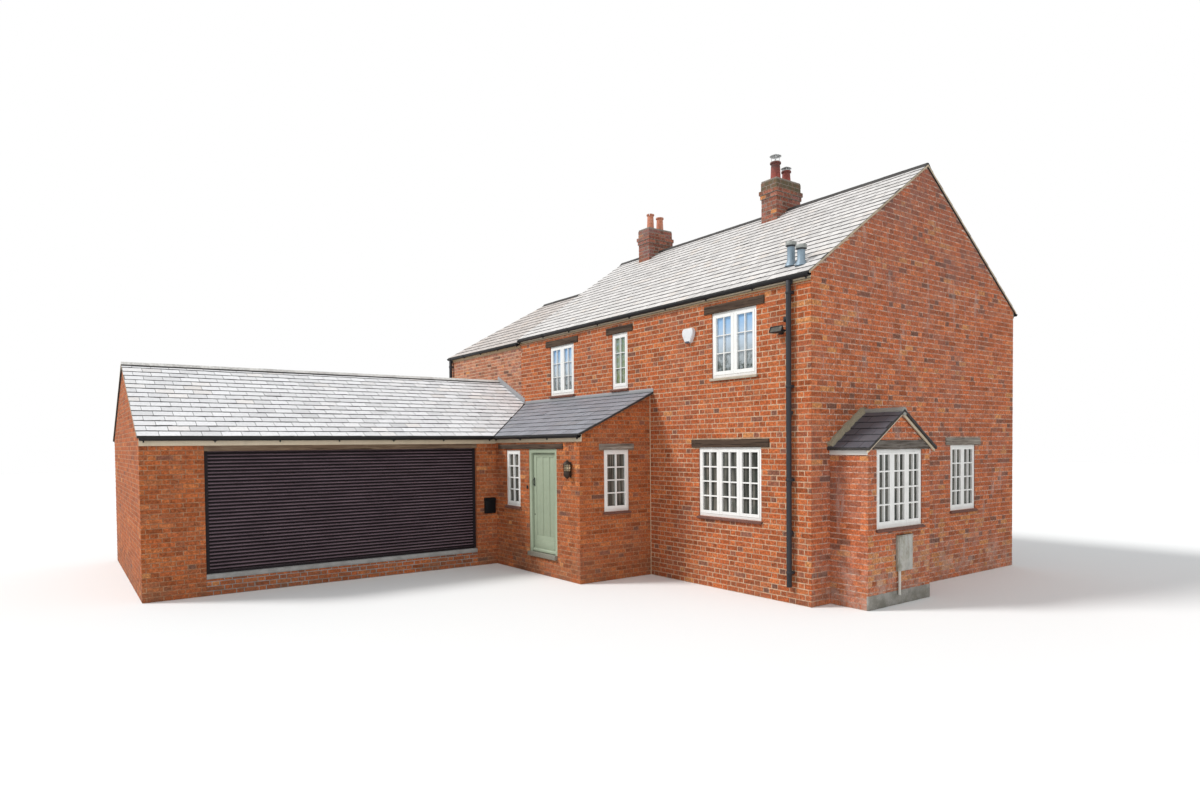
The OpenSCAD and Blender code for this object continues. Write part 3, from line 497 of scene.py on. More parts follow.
class Look:
    """A material, with short ways to add nodes that read Object coordinates."""

    def __init__(self, name, color, roughness=0.8, metallic=0.0, **sockets):
        self.material = bpy.data.materials.new(name)
        self.material.use_nodes = True
        self.tree = self.material.node_tree
        self.shader = self.tree.nodes["Principled BSDF"]
        self.shader.inputs["Base Color"].default_value = (*color[:3], 1)
        self.shader.inputs["Roughness"].default_value = roughness
        self.shader.inputs["Metallic"].default_value = metallic
        for key, value in sockets.items():
            self.shader.inputs[key.replace("_", " ")].default_value = value
        coordinates = self.tree.nodes.new("ShaderNodeTexCoord")
        self.place = coordinates.outputs["Object"]

    def link(self, value, socket):
        if isinstance(value, bpy.types.NodeSocket):
            self.tree.links.new(value, socket)
        elif socket.type == "RGBA":
            socket.default_value = (*value[:3], 1)
        else:
            socket.default_value = value

    def node(self, kind, inputs=(), **settings):
        node = self.tree.nodes.new("ShaderNode" + kind)
        for key, value in settings.items():
            setattr(node, key, value)
        for key, value in dict(inputs).items():
            self.link(value, node.inputs[key])
        return node

    def math(self, operation, a, b=0.0):
        return self.node("Math", {0: a, 1: b}, operation=operation).outputs[0]

    def times(self, a, b):
        return self.math("MULTIPLY", a, b)

    def grained(self, color, value, *stops):
        """A colour made lighter and darker by a pattern."""
        return self.mix(1.0, color, self.ramp(value, stops), "MULTIPLY")

    def base(self):
        """What feeds the colour so far."""
        return self.shader.inputs["Base Color"].links[0].from_socket

    def noise(self, scale, detail=3.0, roughness=0.55, stretch=None):
        place = self.node("Mapping",
                          {"Vector": self.place, "Scale": stretch}).outputs[0] if stretch else self.place
        node = self.node("TexNoise",
                         {"Vector": place, "Scale": scale, "Detail": detail, "Roughness": roughness})
        return node.outputs["Fac"]

    def cells(self, scale):
        return self.node("TexVoronoi", {"Vector": self.place, "Scale": scale}).outputs["Distance"]

    def ramp(self, value, stops):
        """Colours or greys at given values, blended in between."""
        node = self.node("ValToRGB", {"Fac": value})
        bar = node.color_ramp
        while len(bar.elements) < len(stops):
            bar.elements.new(0.5)
        for element, (position, color) in zip(bar.elements, stops):
            element.position = position
            element.color = (color,) * 3 + (1,) if isinstance(color, float) else (*color[:3], 1)
        return node.outputs["Color"]

    def span(self, value, start, stop, low=0.0, high=1.0):
        """Maps start..stop to low..high, held at the ends."""
        node = self.node("MapRange", {"Value": value, "From Min": start, "From Max": stop,
                                      "To Min": low, "To Max": high}, clamp=True)
        return node.outputs[0]

    def mix(self, amount, a, b, blend="MIX"):
        node = self.node("Mix", data_type="RGBA", blend_type=blend)
        self.link(amount, node.inputs[0])
        self.link(a, node.inputs[6])
        self.link(b, node.inputs[7])
        return node.outputs[2]

    def stain(self, color, value, start, stop, amount, over):
        """Lays a colour over another as value goes from start to stop, up to an amount."""
        return self.mix(self.span(value, start, stop, 0, amount), color, over)

    def axis(self, name):
        return self.node("SeparateXYZ", {0: self.place}).outputs[name]

    def facing(self, direction):
        """How far a face looks along a direction, from -1 to 1."""
        normal = self.node("NewGeometry").outputs["True Normal"]
        node = self.node("VectorMath", {0: normal, 1: tuple(direction)}, operation="DOT_PRODUCT")
        return node.outputs["Value"]

    def tone(self):
        """The three numbers that a laid thing carries."""
        node = self.node("Attribute", attribute_name="tone", attribute_type="GEOMETRY")
        return self.node("SeparateColor", {0: node.outputs["Color"]}).outputs

    def spot(self):
        """Where on a laid thing: 0 to 1 along it, 0 to 1 up it, and its depth."""
        node = self.node("Attribute", attribute_name="spot", attribute_type="GEOMETRY")
        return self.node("SeparateXYZ", {0: node.outputs["Vector"]}).outputs

    def color(self, value):
        self.link(value, self.shader.inputs["Base Color"])

    def rough(self, value):
        self.link(value, self.shader.inputs["Roughness"])

    def bump(self, height, distance, strength=1.0):
        node = self.node("Bump", {"Height": height, "Distance": distance, "Strength": strength})
        self.link(node.outputs[0], self.shader.inputs["Normal"])


def dim(color, factor):
    """A colour made darker or lighter."""
    return tuple(c * factor for c in color)


def paint_look(name, color, dirt=0.35, worn=0.0, under=(0.30, 0.22, 0.15)):
    """Brushed paint, grimy in patches, and worn through to the wood where worn says."""
    look = Look(name, color, roughness=0.45)
    brush = look.noise(90, 4, 0.6, stretch=(1.0, 1.0, 0.12))
    coat = look.grained(color, brush, (0.3, 0.94), (0.7, 1.03))
    patch = look.noise(7, 5, 0.65)
    coat = look.stain(coat, patch, 0.48, 0.78, dirt, dim(color, 0.62))
    if worn:
        chips = look.noise(46, 6, 0.75, stretch=(1.0, 1.0, 0.4))
        bare = look.times(look.span(chips, 0.60, 0.66), look.span(look.noise(5, 4), 0.45, 0.6))
        coat = look.mix(look.times(bare, worn), coat, under)
    look.color(coat)
    look.rough(look.span(patch, 0.3, 0.8, 0.38, 0.62))
    look.bump(brush, 0.0012, 0.5)
    return look


def timber_look(name, color, pale, grain_axis=(0.06, 1.0, 1.0)):
    """Weathered oak: grain along the beam, shakes, and upper faces made paler as painted highlight."""
    look = Look(name, color, roughness=0.9, Specular_IOR_Level=0.2)
    grain = look.noise(34, 7, 0.72, stretch=grain_axis)
    shakes = look.noise(60, 3, 0.5, stretch=[g * 0.5 if g < 1 else g for g in grain_axis])
    wood = look.mix(look.span(grain, 0.42, 0.72), color, pale)
    wood = look.mix(look.span(shakes, 0.60, 0.66), wood, dim(color, 0.35))
    # painted highlight: the faces that look up are paler
    wood = look.stain(wood, look.facing(UP), 0.25, 0.9, 0.75, dim(pale, 1.25))
    drift = look.noise(2.6, 4)
    wood = look.stain(wood, drift, 0.45, 0.75, 0.45, dim(color, 0.7))
    look.color(wood)
    look.bump(look.math("SUBTRACT", grain, look.span(shakes, 0.60, 0.66, 0, 0.8)), 0.005, 0.9)
    return look


def stone_look(name, color, speck=0.35, lichen=0.0, damp=0.0):
    """Cement or stone: gritty, blotched, with lichen and damp where asked."""
    look = Look(name, color, roughness=0.93)
    grit = look.noise(150, 4, 0.7)
    blotch = look.noise(6, 6, 0.65)
    face = look.grained(color, grit, (0.3, 1 - speck), (0.52, 1.0), (0.72, 1 + speck * 0.6))
    face = look.stain(face, blotch, 0.45, 0.75, 0.6, dim(color, 0.58))
    if lichen:
        spots = look.times(look.span(look.cells(26), 0.22, 0.06), look.span(look.noise(4, 4), 0.45, 0.6))
        face = look.mix(look.times(spots, lichen), face, (0.33, 0.34, 0.20))
    if damp:
        low_down = look.times(look.span(look.axis("Z"), 0.5, 0.0), look.span(blotch, 0.3, 0.6))
        face = look.mix(look.times(low_down, damp), face, (0.10, 0.09, 0.06))
    look.color(face)
    look.bump(grit, 0.004, 0.8)
    return look


def clay_look(name, color, soot_from, soot_to, pale=(0.62, 0.42, 0.33)):
    """Fired pot clay: mottled, pale with salts in patches and sooty at the rim."""
    look = Look(name, color, roughness=0.82)
    mottle = look.noise(24, 5, 0.65)
    face = look.grained(color, mottle, (0.3, 0.72), (0.5, 1.0), (0.72, 1.2))
    face = look.stain(face, look.noise(9, 5), 0.55, 0.72, 0.5, pale)
    soot = look.times(look.span(look.axis("Z"), soot_from, soot_to), look.span(mottle, 0.2, 0.6, 0.45, 1.0))
    face = look.mix(look.times(soot, 0.7), face, (0.05, 0.035, 0.03))
    look.color(face)
    look.bump(mottle, 0.003, 0.6)
    return look


def metal_look(name, color, roughness=0.4, metallic=1.0, dust=(0.30, 0.28, 0.25), amount=0.35, gloss=0.5):
    """Metal or plastic with a film of dust that gathers on what faces up."""
    look = Look(name, color, roughness=roughness, metallic=metallic, Specular_IOR_Level=gloss)
    film = look.noise(18, 6, 0.7)
    fine = look.noise(120, 3, 0.6)
    settled = look.times(look.span(look.facing(UP), -0.2, 0.9, 0.25, 1.0), look.span(film, 0.35, 0.7))
    face = look.grained(color, fine, (0.3, 0.85), (0.7, 1.12))
    look.color(look.mix(look.times(settled, amount), face, dust))
    look.rough(look.span(film, 0.3, 0.75, roughness, min(1.0, roughness + 0.3)))
    look.bump(fine, 0.0008, 0.5)
    return look


# Sizes and colours that a user may change

def size(name, description, default, low=0.0, high=2.0):
    return FloatProperty(name=name, description=description, default=default, min=low, max=high,
                         unit="LENGTH", precision=4)


def tint(name, description, default):
    return FloatVectorProperty(name=name, description=description, default=default, size=3,
                               min=0.0, max=1.0, subtype="COLOR")


class CottageBricks(PropertyGroup):
    old_course: size("Old course", "Height of one course of the old brickwork", 0.084)
    new_course: size("New course", "Height of one course of the wing and porch", 0.0775)
    joint: size("Joint", "Width of the mortar joints", 0.011)
    proud: size("Relief", "How far the bricks stand out of the mortar", 0.0035)
    stretcher: size("Stretcher", "Length of a brick's long face", 0.222)
    header: size("Header", "Length of a brick's short face", 0.106)
    old_red: tint("Old brick", "Usual colour of the old bricks", (0.41, 0.098, 0.029))
    old_dark: tint("Burnt brick", "Colour of the hard-burnt headers", (0.150, 0.068, 0.046))
    old_orange: tint("Repair brick", "Colour of the orange repairs", (0.56, 0.225, 0.080))
    new_red: tint("Wing brick", "Usual colour of the wing's bricks", (0.385, 0.100, 0.030))
    pale_red: tint("Extension brick", "Usual colour of the extension's bricks", (0.43, 0.160, 0.085))
    lime: tint("Lime mortar", "Colour of the mortar on the front", (0.60, 0.42, 0.28))
    new_mortar: tint("Wing mortar", "Colour of the mortar on the wing and porch", (0.43, 0.235, 0.13))
    pink_mortar: tint("Gable mortar", "Colour of the mortar on the gable", (0.66, 0.50, 0.40))


class CottageRoofs(PropertyGroup):
    gauge: size("Gauge", "Height of slate that shows in a course of the house", 0.192)
    width: size("Width", "Width of a slate of the house", 0.205)
    wing_gauge: size("Wing gauge", "Height of slate that shows in a course of the wing", 0.205)
    wing_width: size("Wing width", "Width of a slate of the wing and porch", 0.30)
    thickness: size("Thickness", "Thickness of a slate", 0.007)
    bay_gauge: size("Bay gauge", "Height of slate that shows on the bay", 0.175)
    # the old and wing slates are paler than slate's own grey: partly their weathered grey, partly painted
    # sunlight
    old_slate: tint("Old slate", "Usual colour of the weathered slates", (0.64, 0.61, 0.585))
    wing_slate: tint("Wing slate", "Usual colour of the wing's slates", (0.82, 0.81, 0.81))
    porch_slate: tint("Porch slate", "Usual colour of the porch's slates", (0.245, 0.25, 0.278))
    bay_slate: tint("Bay slate", "Usual colour of the bay's slates", (0.085, 0.085, 0.10))


class CottageJoinery(PropertyGroup):
    bar_width: size("Glazing bar", "Width of a glazing bar on the ground floor", 0.027)
    upper_bar: size("Upper glazing bar", "Width of a glazing bar upstairs", 0.016)
    slim: size("Slim casement", "How much narrower a casement is on the ground floor", 0.009)
    casement_proud: size("Casement", "How far a casement stands out of its frame", 0.008)
    white: tint("White paint", "Colour of the windows", (0.80, 0.79, 0.76))
    sage: tint("Sage paint", "Colour of the front door", (0.315, 0.365, 0.26))
    cream: tint("Cream paint", "Colour of the fascias", (0.58, 0.485, 0.35))
    timber: tint("Old timber", "Colour of the lintels", (0.058, 0.036, 0.025))
    roller: tint("Roller door", "Colour of the garage door", (0.011, 0.006, 0.008))


def settings(group):
    return getattr(bpy.context.scene, "cottage_" + group)


# Bricks

def brick_patterns(proud):
    """Bricks with worn edges: sound, rounded, and with a corner knocked off."""
    length, height, sunk = 0.2, 0.07, 0.004
    patterns = []
    for wear, chip in ((0.0026, 0), (0.0055, 0), (0.0026, 0.018)):
        piece = block("brick", (0, -proud, 0), (length, sunk, height))
        if chip:
            bevel(piece, chip, lambda a, b: min(a.x, b.x) > 0.1 and min(a.z, b.z) > 0.01)
        bevel(piece, wear, lambda a, b: a.y < 0 and b.y < 0, clamp_overlap=True)
        patterns.append(Pattern(piece, length, height))
    return patterns


def deal(patterns, odds, corners, tones, face, tilt, rng):
    """Shares laid things out among their patterns, as batches for lay()."""
    corners, tones = np.array([[tuple(p) for p in c] for c in corners]), np.array(tones)
    picks = rng.choice(len(patterns), len(corners), p=odds)
    return [(pattern, corners[picks == n], face.along, face.up, face.normal, tones[picks == n], tilt)
            for n, pattern in enumerate(patterns)]


class Wall:
    """A brick face: its outline, what is cut out of it, and how it is laid."""

    def __init__(self, nodes, towards, at, course, seed, covers=(), limits=None, datum=0.0):
        self.face = nodes if isinstance(nodes, Face) else Face(nodes, towards, at)
        self.course, self.seed, self.covers = course, seed, covers
        self.patches = ()  # repairs: from and to along the wall, from and to in height, how likely
        self.span = self.face.span(0)
        self.limits = limits or self.span
        self.datum = datum
        self.holes = []

    def within(self, u):
        return min(max(u, self.span[0]), self.span[1])

    def cut(self, boxes):
        """Leaves the bricks out where these boxes stand in the wall."""
        f = self.face
        axis = max(range(3), key=lambda i: abs(f.normal[i]))
        plane = f.origin[axis]
        for a, b in boxes:
            if a[axis] - 0.06 <= plane <= b[axis] + 0.06:
                u = sorted((a.dot(f.along), b.dot(f.along)))
                if u[1] > self.limits[0] and u[0] < self.limits[1]:
                    self.holes.append((*u, a.z, b.z))

    def foot(self, u):
        """Lowest height that shows at a place along the wall."""
        spot = self.face.point(self.within(u), 0)
        return max([self.face.span(1)[0]] + [cover(spot) for cover in self.covers])

    def head(self, u):
        return self.face.reach(0, self.within(u))[1] - 0.004

    def fit(self, u, bottom, top):
        """Foot and head of a brick at a place along a course."""
        return max(bottom, self.foot(u)), min(top, self.head(u))


def course_runs(wall, za, zb):
    """Stretches of a course between openings, each with its own foot and head."""
    u0, u1 = wall.limits
    cuts = {u0, u1}
    for h in wall.holes:
        if h[2] < zb - 0.004 and h[3] > za + 0.004:
            cuts.update(min(max(c, u0), u1) for c in h[:2])
    cuts = sorted(cuts)
    runs = []
    for a, b in zip(cuts, cuts[1:]):
        if b - a < 0.012:
            continue
        middle = (a + b) / 2
        bottom, top = za, zb
        for h in wall.holes:
            if h[0] < middle < h[1] and h[2] < top and h[3] > bottom:
                if h[2] <= bottom and h[3] >= top:
                    top = bottom
                elif h[2] - bottom > top - h[3]:
                    top = h[2]
                else:
                    bottom = h[3]
        if top - bottom < LEAST_HEIGHT:
            continue
        if runs and abs(runs[-1][1] - a) < 1e-6 and runs[-1][2:] == (bottom, top):
            runs[-1] = (runs[-1][0], b, bottom, top)
        else:
            runs.append((a, b, bottom, top))
    return runs


def lay_wall(wall, patterns, bricks, rng, dark=0.04, bright=0.015, wander=0.004, narrow=1.0):
    """A wall's bricks in Flemish bond, headers over stretchers, as batches for lay()."""
    face = wall.face
    joint, s, h = bricks.joint * narrow, bricks.stretcher, bricks.header
    unit = s + h + 2 * joint
    corners, tones = [], []
    first, last = face.span(1)
    for k in range(math.floor((first - wall.datum) / wall.course + 0.01),
                   math.ceil((last - wall.datum) / wall.course)):
        za = wall.datum + k * wall.course + joint / 2
        zb = za + wall.course - joint
        phase = (k % 2) * unit / 2 + rng.uniform(-0.012, 0.012)
        for a, b, bottom, head in course_runs(wall, za, zb):
            u = a - ((a - phase) % unit)
            row = []
            while u < b:
                lengths = (s, h) if rng.random() > 0.06 else (h, s)
                for length in lengths:
                    end = u + length + rng.uniform(-wander, wander)
                    if end > a + LEAST_LENGTH and u < b - LEAST_LENGTH:
                        row.append([max(u, a), min(end, b), length < (s + h) / 2])
                    u += length + joint
            if not row:
                continue
            row[-1][1] = b
            if row[0][0] - a < joint * 2:
                row[0][0] = a
            if len(row) > 1 and row[-1][1] - row[-1][0] < CLOSER:
                row[-2][1] = b
                row.pop()
            if len(row) > 1 and row[0][1] - row[0][0] < CLOSER:
                row[1][0] = a
                row.pop(0)
            for left, right, is_header in row:
                ends = [wall.fit(u, bottom, head) for u in (left, right)]
                gaps = [top - foot for foot, top in ends]
                if max(gaps) < LEAST_HEIGHT:
                    continue
                if gaps[0] < 0:
                    left += (right - left) * gaps[0] / (gaps[0] - gaps[1])
                if gaps[1] < 0:
                    right -= (right - left) * gaps[1] / (gaps[1] - gaps[0])
                if right - left < LEAST_LENGTH:
                    continue
                (foot_left, top_left), (foot_right,
                                        top_right) = (wall.fit(u, bottom, head) for u in (left, right))
                feet, heads = [foot_left, foot_right], [max(top_left, foot_left + 0.002),
                                                        max(top_right, foot_right + 0.002)]
                shake = rng.uniform(-0.0012, 0.0012, 4)
                out = rng.uniform(-0.0012, 0.0012, 4)
                quad = [face.point(left, feet[0] + shake[0], out[0]),
                        face.point(right, feet[1] + shake[1], out[1]),
                        face.point(right, heads[1] + shake[2], out[2]),
                        face.point(left, heads[0] + shake[3], out[3])]
                chance = rng.random()
                kind = 0.0 if chance < dark * (2.2 if is_header
                                               else 0.6) else 1.0 if chance > 1 - bright else 0.5
                for u0, u1, z0, z1, likely in wall.patches:
                    if u0 < (left + right) / 2 < u1 and z0 < (za + zb) / 2 < z1 and rng.random() < likely:
                        kind = 1.0
                corners.append(quad)
                tones.append((rng.random(), kind, rng.random()))
    return deal(patterns, (0.70, 0.20, 0.10), corners, tones, face, (0.0, 0.0), rng)


def brick_look(name, usual, dark, bright, weather, moss=None):
    """Fired clay: a tone for each brick, burnt and repair bricks, pits and weathering."""
    look = Look(name, usual, roughness=0.92, Specular_IOR_Level=0.2)
    tone, spot = look.tone(), look.spot()
    shade = look.ramp(tone[0], [(0.0, dim(usual, 0.60)), (0.2, dim(usual, 0.84)),
                                (0.6, dim(usual, 1.04)),
                                (1.0, (usual[0] * 1.18, usual[1] * 1.42, usual[2] * 1.5))])
    shade = look.stain(shade, tone[2], 0.6, 1.0, 0.5, (usual[0] * 0.72, usual[1] * 1.05, usual[2] * 1.7))
    burnt = look.span(tone[1], 0.4, 0.2)
    light = look.span(tone[1], 0.6, 0.8)
    face = look.mix(burnt, shade, look.mix(tone[0], dark, (dark[0] * 1.8, dark[1] * 1.4, dark[2] * 1.15)))
    face = look.mix(light, face, look.mix(tone[0], bright, dim(bright, 0.85)))
    grain = look.noise(70, 5, 0.65)
    blotch = look.noise(14, 4, 0.6)
    face = look.grained(face, grain, (0.3, 0.66), (0.52, 1.0), (0.74, 1.28))
    fleck = look.noise(30, 5, 0.7)
    face = look.grained(face, fleck, (0.36, 0.60), (0.5, 1.0), (0.64, 1.5))
    face = look.stain(face, blotch, 0.5, 0.75, 0.5, [c * 0.42 + 0.02 for c in usual])
    rim = look.span(look.math("ABSOLUTE", look.math("SUBTRACT", spot["Y"], 0.5)), 0.34, 0.5, 0.0, 0.22)
    smear = look.math("ADD", look.noise(38, 6, 0.75), rim)
    face = look.stain(face, smear, 0.56, 0.78, weather["lime"], weather["smear"])
    old = look.noise(1.1, 5, 0.62)
    face = look.stain(face, old, 0.50, 0.72, weather["grey"], (0.215, 0.135, 0.125))
    height = look.axis("Z")
    if weather.get("high"):
        start, stop, amount = weather["high"]
        aged = look.times(look.span(height, start, stop),
                          look.span(look.noise(2.2, 6, 0.7), 0.25, 0.6, 0.25, 1.0))
        face = look.mix(look.times(aged, amount), face, (0.150, 0.090, 0.085))
        runs = look.span(look.noise(4.2, 5, 0.68, stretch=(1.0, 1.0, 0.22)), 0.60, 0.72)
        face = look.mix(look.times(runs, 0.55), face, (0.46, 0.36, 0.32))
    damp = look.times(look.span(height, 0.7, 0.05), look.span(look.noise(3.0, 4), 0.35, 0.7))
    face = look.mix(look.times(damp, weather["damp"]), face, (0.13, 0.085, 0.055))
    if weather.get("salts"):
        bloom = look.times(look.span(height, 0.95, 0.3), look.span(look.noise(4.5, 6, 0.7), 0.45, 0.68))
        face = look.mix(look.times(bloom, weather["salts"]), face, (0.50, 0.41, 0.36))
    if moss:
        green = look.times(look.span(look.axis("X"), moss[0], moss[0] + 0.1),
                           look.span(height, moss[1] - 0.24, moss[1] - 0.19))
        face = look.mix(look.times(green, look.span(blotch, 0.3, 0.55, 0.3, 0.9)), face,
                        (0.105, 0.095, 0.055))
    look.color(face)
    look.rough(look.span(grain, 0.3, 0.8, 0.82, 0.96))
    pits = look.math("ADD", look.times(grain, 0.6), look.times(look.noise(220, 2), 0.4))
    look.bump(pits, 0.004, 0.8)
    return look.material


def wall_look(name, mortar, inside, outward, brick, course, stained):
    """A wall's body: mortar outside, plaster inside, cut bricks in the reveals."""
    look = Look(name, mortar, roughness=0.95)
    sand = look.noise(160, 4, 0.7)
    bed = look.grained(mortar, sand, (0.3, 0.72), (0.5, 0.98), (0.72, 1.22))
    bed = look.stain(bed, look.noise(1.3, 5), 0.45, 0.75, 0.5, dim(mortar, 0.55))
    bed = look.stain(bed, look.noise(13, 5, 0.72), 0.41, 0.55, stained, dim(brick, 0.42))
    height = look.math("FRACT", look.math("DIVIDE", look.axis("Z"), course))
    band = look.times(look.span(height, 0.05, 0.09), look.span(height, 0.95, 0.91))
    grain = look.noise(40, 5, 0.7)
    clay = look.grained(brick, grain, (0.3, 0.6), (0.7, 1.25))
    cut = look.mix(band, bed, clay)
    plaster = look.grained(inside, look.noise(6, 4), (0.3, 0.92), (0.7, 1.02))
    facing = look.facing(outward)
    shade = look.mix(look.span(facing, 0.5, 0.9), cut, bed)
    shade = look.mix(look.span(facing, -0.5, -0.9), shade, plaster)
    look.color(shade)
    look.bump(sand, 0.003, 0.7)
    return look.material


# Slates

def slate_patterns(thickness, length):
    """Slates with a dressed tail: sound, with a corner gone, and with a ragged tail."""
    width, half = 0.2, thickness / 2
    patterns = []
    for kind in ("sound", "corner", "ragged"):
        piece = block("slate", (0, -half, 0), (width, half, length))
        if kind == "corner":
            bevel(piece, 0.022, lambda a, b: min(a.x, b.x) > 0.1 and max(a.z, b.z) < 0.001)
        if kind == "ragged":
            subdivide(piece, 4, lambda a, b: max(a.z, b.z) < 0.001 and abs(a.x - b.x) > 0.1)
            with Edit(piece, "VERT", lambda p: p.z < 0.001 and 0.01 < p.x < 0.19):
                bpy.ops.transform.vertex_random(offset=0.004, seed=3)
        bevel(piece, 0.0018, lambda a, b: max(a.z, b.z) < 0.008 and a.y < 0 and b.y < 0, clamp_overlap=True)
        patterns.append(Pattern(piece, width, length))
    return patterns


def lay_slates(face, patterns, gauge, width, rng, lift, slipped, gap=0.0025, wander=0.003):
    """Courses of slates up a roof face, joints over the middles below, as batches for lay()."""
    low_v, high_v = face.span(1)
    lap = 0.03
    corners, tones = [], []
    rows = round((high_v - low_v) / gauge)
    pitch = (high_v - low_v) / rows
    for j in range(rows):
        tail = low_v + j * pitch
        head = min(tail + pitch + lap, high_v - 1e-4)
        at_tail, at_head = face.reach(1, tail + 1e-5), face.reach(1, head)
        if not at_tail or not at_head:
            continue
        start = min(at_tail[0], at_head[0])
        stop = max(at_tail[1], at_head[1])
        u = start - width * (0.5 if j % 2 else 0.0) + rng.uniform(-0.01, 0.01)
        course_shade = rng.uniform(0, 1)
        while u < stop:
            w = width + rng.uniform(-0.012, 0.012)
            quad_u = []
            for reach in (at_tail, at_head):
                quad_u.append((min(max(u + gap / 2, reach[0]), reach[1]),
                               min(max(u + w - gap / 2, reach[0]), reach[1])))
            (a0, b0), (a1, b1) = quad_u
            if max(b0 - a0, b1 - a1) > 0.03:
                drop = rng.uniform(-wander, wander, 2) if j else np.zeros(2)
                out = rng.uniform(-0.0015, 0.002, 4)
                if j and rng.random() < slipped:
                    drop = np.array((rng.uniform(-0.018, 0.0), rng.uniform(-0.008, 0.008)))
                    out[:2] += rng.uniform(0.002, 0.005)
                corners.append([face.point(a0, tail + drop[0], out[0]),
                                face.point(b0, tail + drop[1], out[1]),
                                face.point(b1, head, out[2]), face.point(a1, head, out[3])])
                tones.append((rng.random(), rng.random(), course_shade))
            u += w
    return deal(patterns, (0.78, 0.12, 0.10), corners, tones, face, lift, rng)


def slate_look(name, usual, lichen, streak, shadow=0.85, lap_shadow_from=0.765):
    """Split stone: a tone for each slate, riven grain, painted shadow under each lap and on each tail edge,
    dark side joints, streaks and pale lichen.
    """
    look = Look(name, usual, roughness=0.55, Specular_IOR_Level=0.4)
    tone, spot = look.tone(), look.spot()
    shade = look.ramp(tone[0], [(0.0, dim(usual, 0.84)), (0.3, dim(usual, 0.96)),
                                (0.8, dim(usual, 1.02)), (1.0, dim(usual, 1.07))])
    warm = look.stain(shade, tone[1], 0.85, 0.98, 0.35, (usual[0] * 1.08, usual[1] * 0.96, usual[2] * 0.84))
    warm = look.stain(warm, tone[1], 0.03, 0.01, 0.4, dim(usual, 0.62))
    riven = look.noise(26, 6, 0.7, stretch=(1.0, 1.0, 0.35))
    face = look.grained(warm, riven, (0.3, 0.86), (0.5, 1.0), (0.72, 1.1))
    drift = look.noise(0.9, 6, 0.62)
    face = look.stain(face, drift, 0.48, 0.75, streak, dim(usual, 0.62))
    spots = look.span(look.cells(34), 0.16, 0.06)
    patches = look.times(spots, look.span(look.noise(3.5, 4), 0.5, 0.66))
    face = look.mix(look.times(patches, lichen), face, (0.55, 0.54, 0.47))
    # painted shadow: a dark band where the slate above laps over, made uneven, and a dark tail edge; the dark
    # side joints are laid on with it
    uneven = look.times(look.math("SUBTRACT", look.noise(7, 4, 0.6), 0.5), 0.22)
    up = look.math("ADD", spot["Y"], uneven)
    lap = look.math("MAXIMUM", look.span(up, lap_shadow_from, lap_shadow_from + 0.03), look.span(spot["Y"], 0.004, 0.001))
    side = look.span(look.math("ABSOLUTE", look.math("SUBTRACT", spot["X"], 0.5)), 0.480, 0.494, 0.0, 0.65)
    face = look.mix(look.times(look.math("MAXIMUM", lap, side), shadow), face, dim(usual, 0.07))
    look.color(face)
    look.rough(look.span(riven, 0.3, 0.75, 0.45, 0.68))
    look.bump(riven, 0.004, 0.7)
    return look.material


def bed_look(name, verge, mortar=(0.50, 0.40, 0.28)):
    """Under the slates: near-black, as painted shade in the gaps between them, and mortar along the verge."""
    # the near-black under the slates is painted shade
    look = Look(name, (0.035, 0.032, 0.03), 0.92)
    grit = look.noise(60, 5, 0.7)
    bedding = look.grained(mortar, grit, (0.3, 0.55), (0.7, 1.25))
    bedding = look.stain(bedding, look.noise(5, 5), 0.5, 0.7, 0.6, dim(mortar, 0.4))
    edge = look.times(look.span(look.math("ABSOLUTE", look.facing(verge)), 0.8, 0.95),
                      look.span(grit, 0.15, 0.3))
    look.color(look.mix(edge, (0.035, 0.032, 0.03), bedding))
    return look.material


# Operators

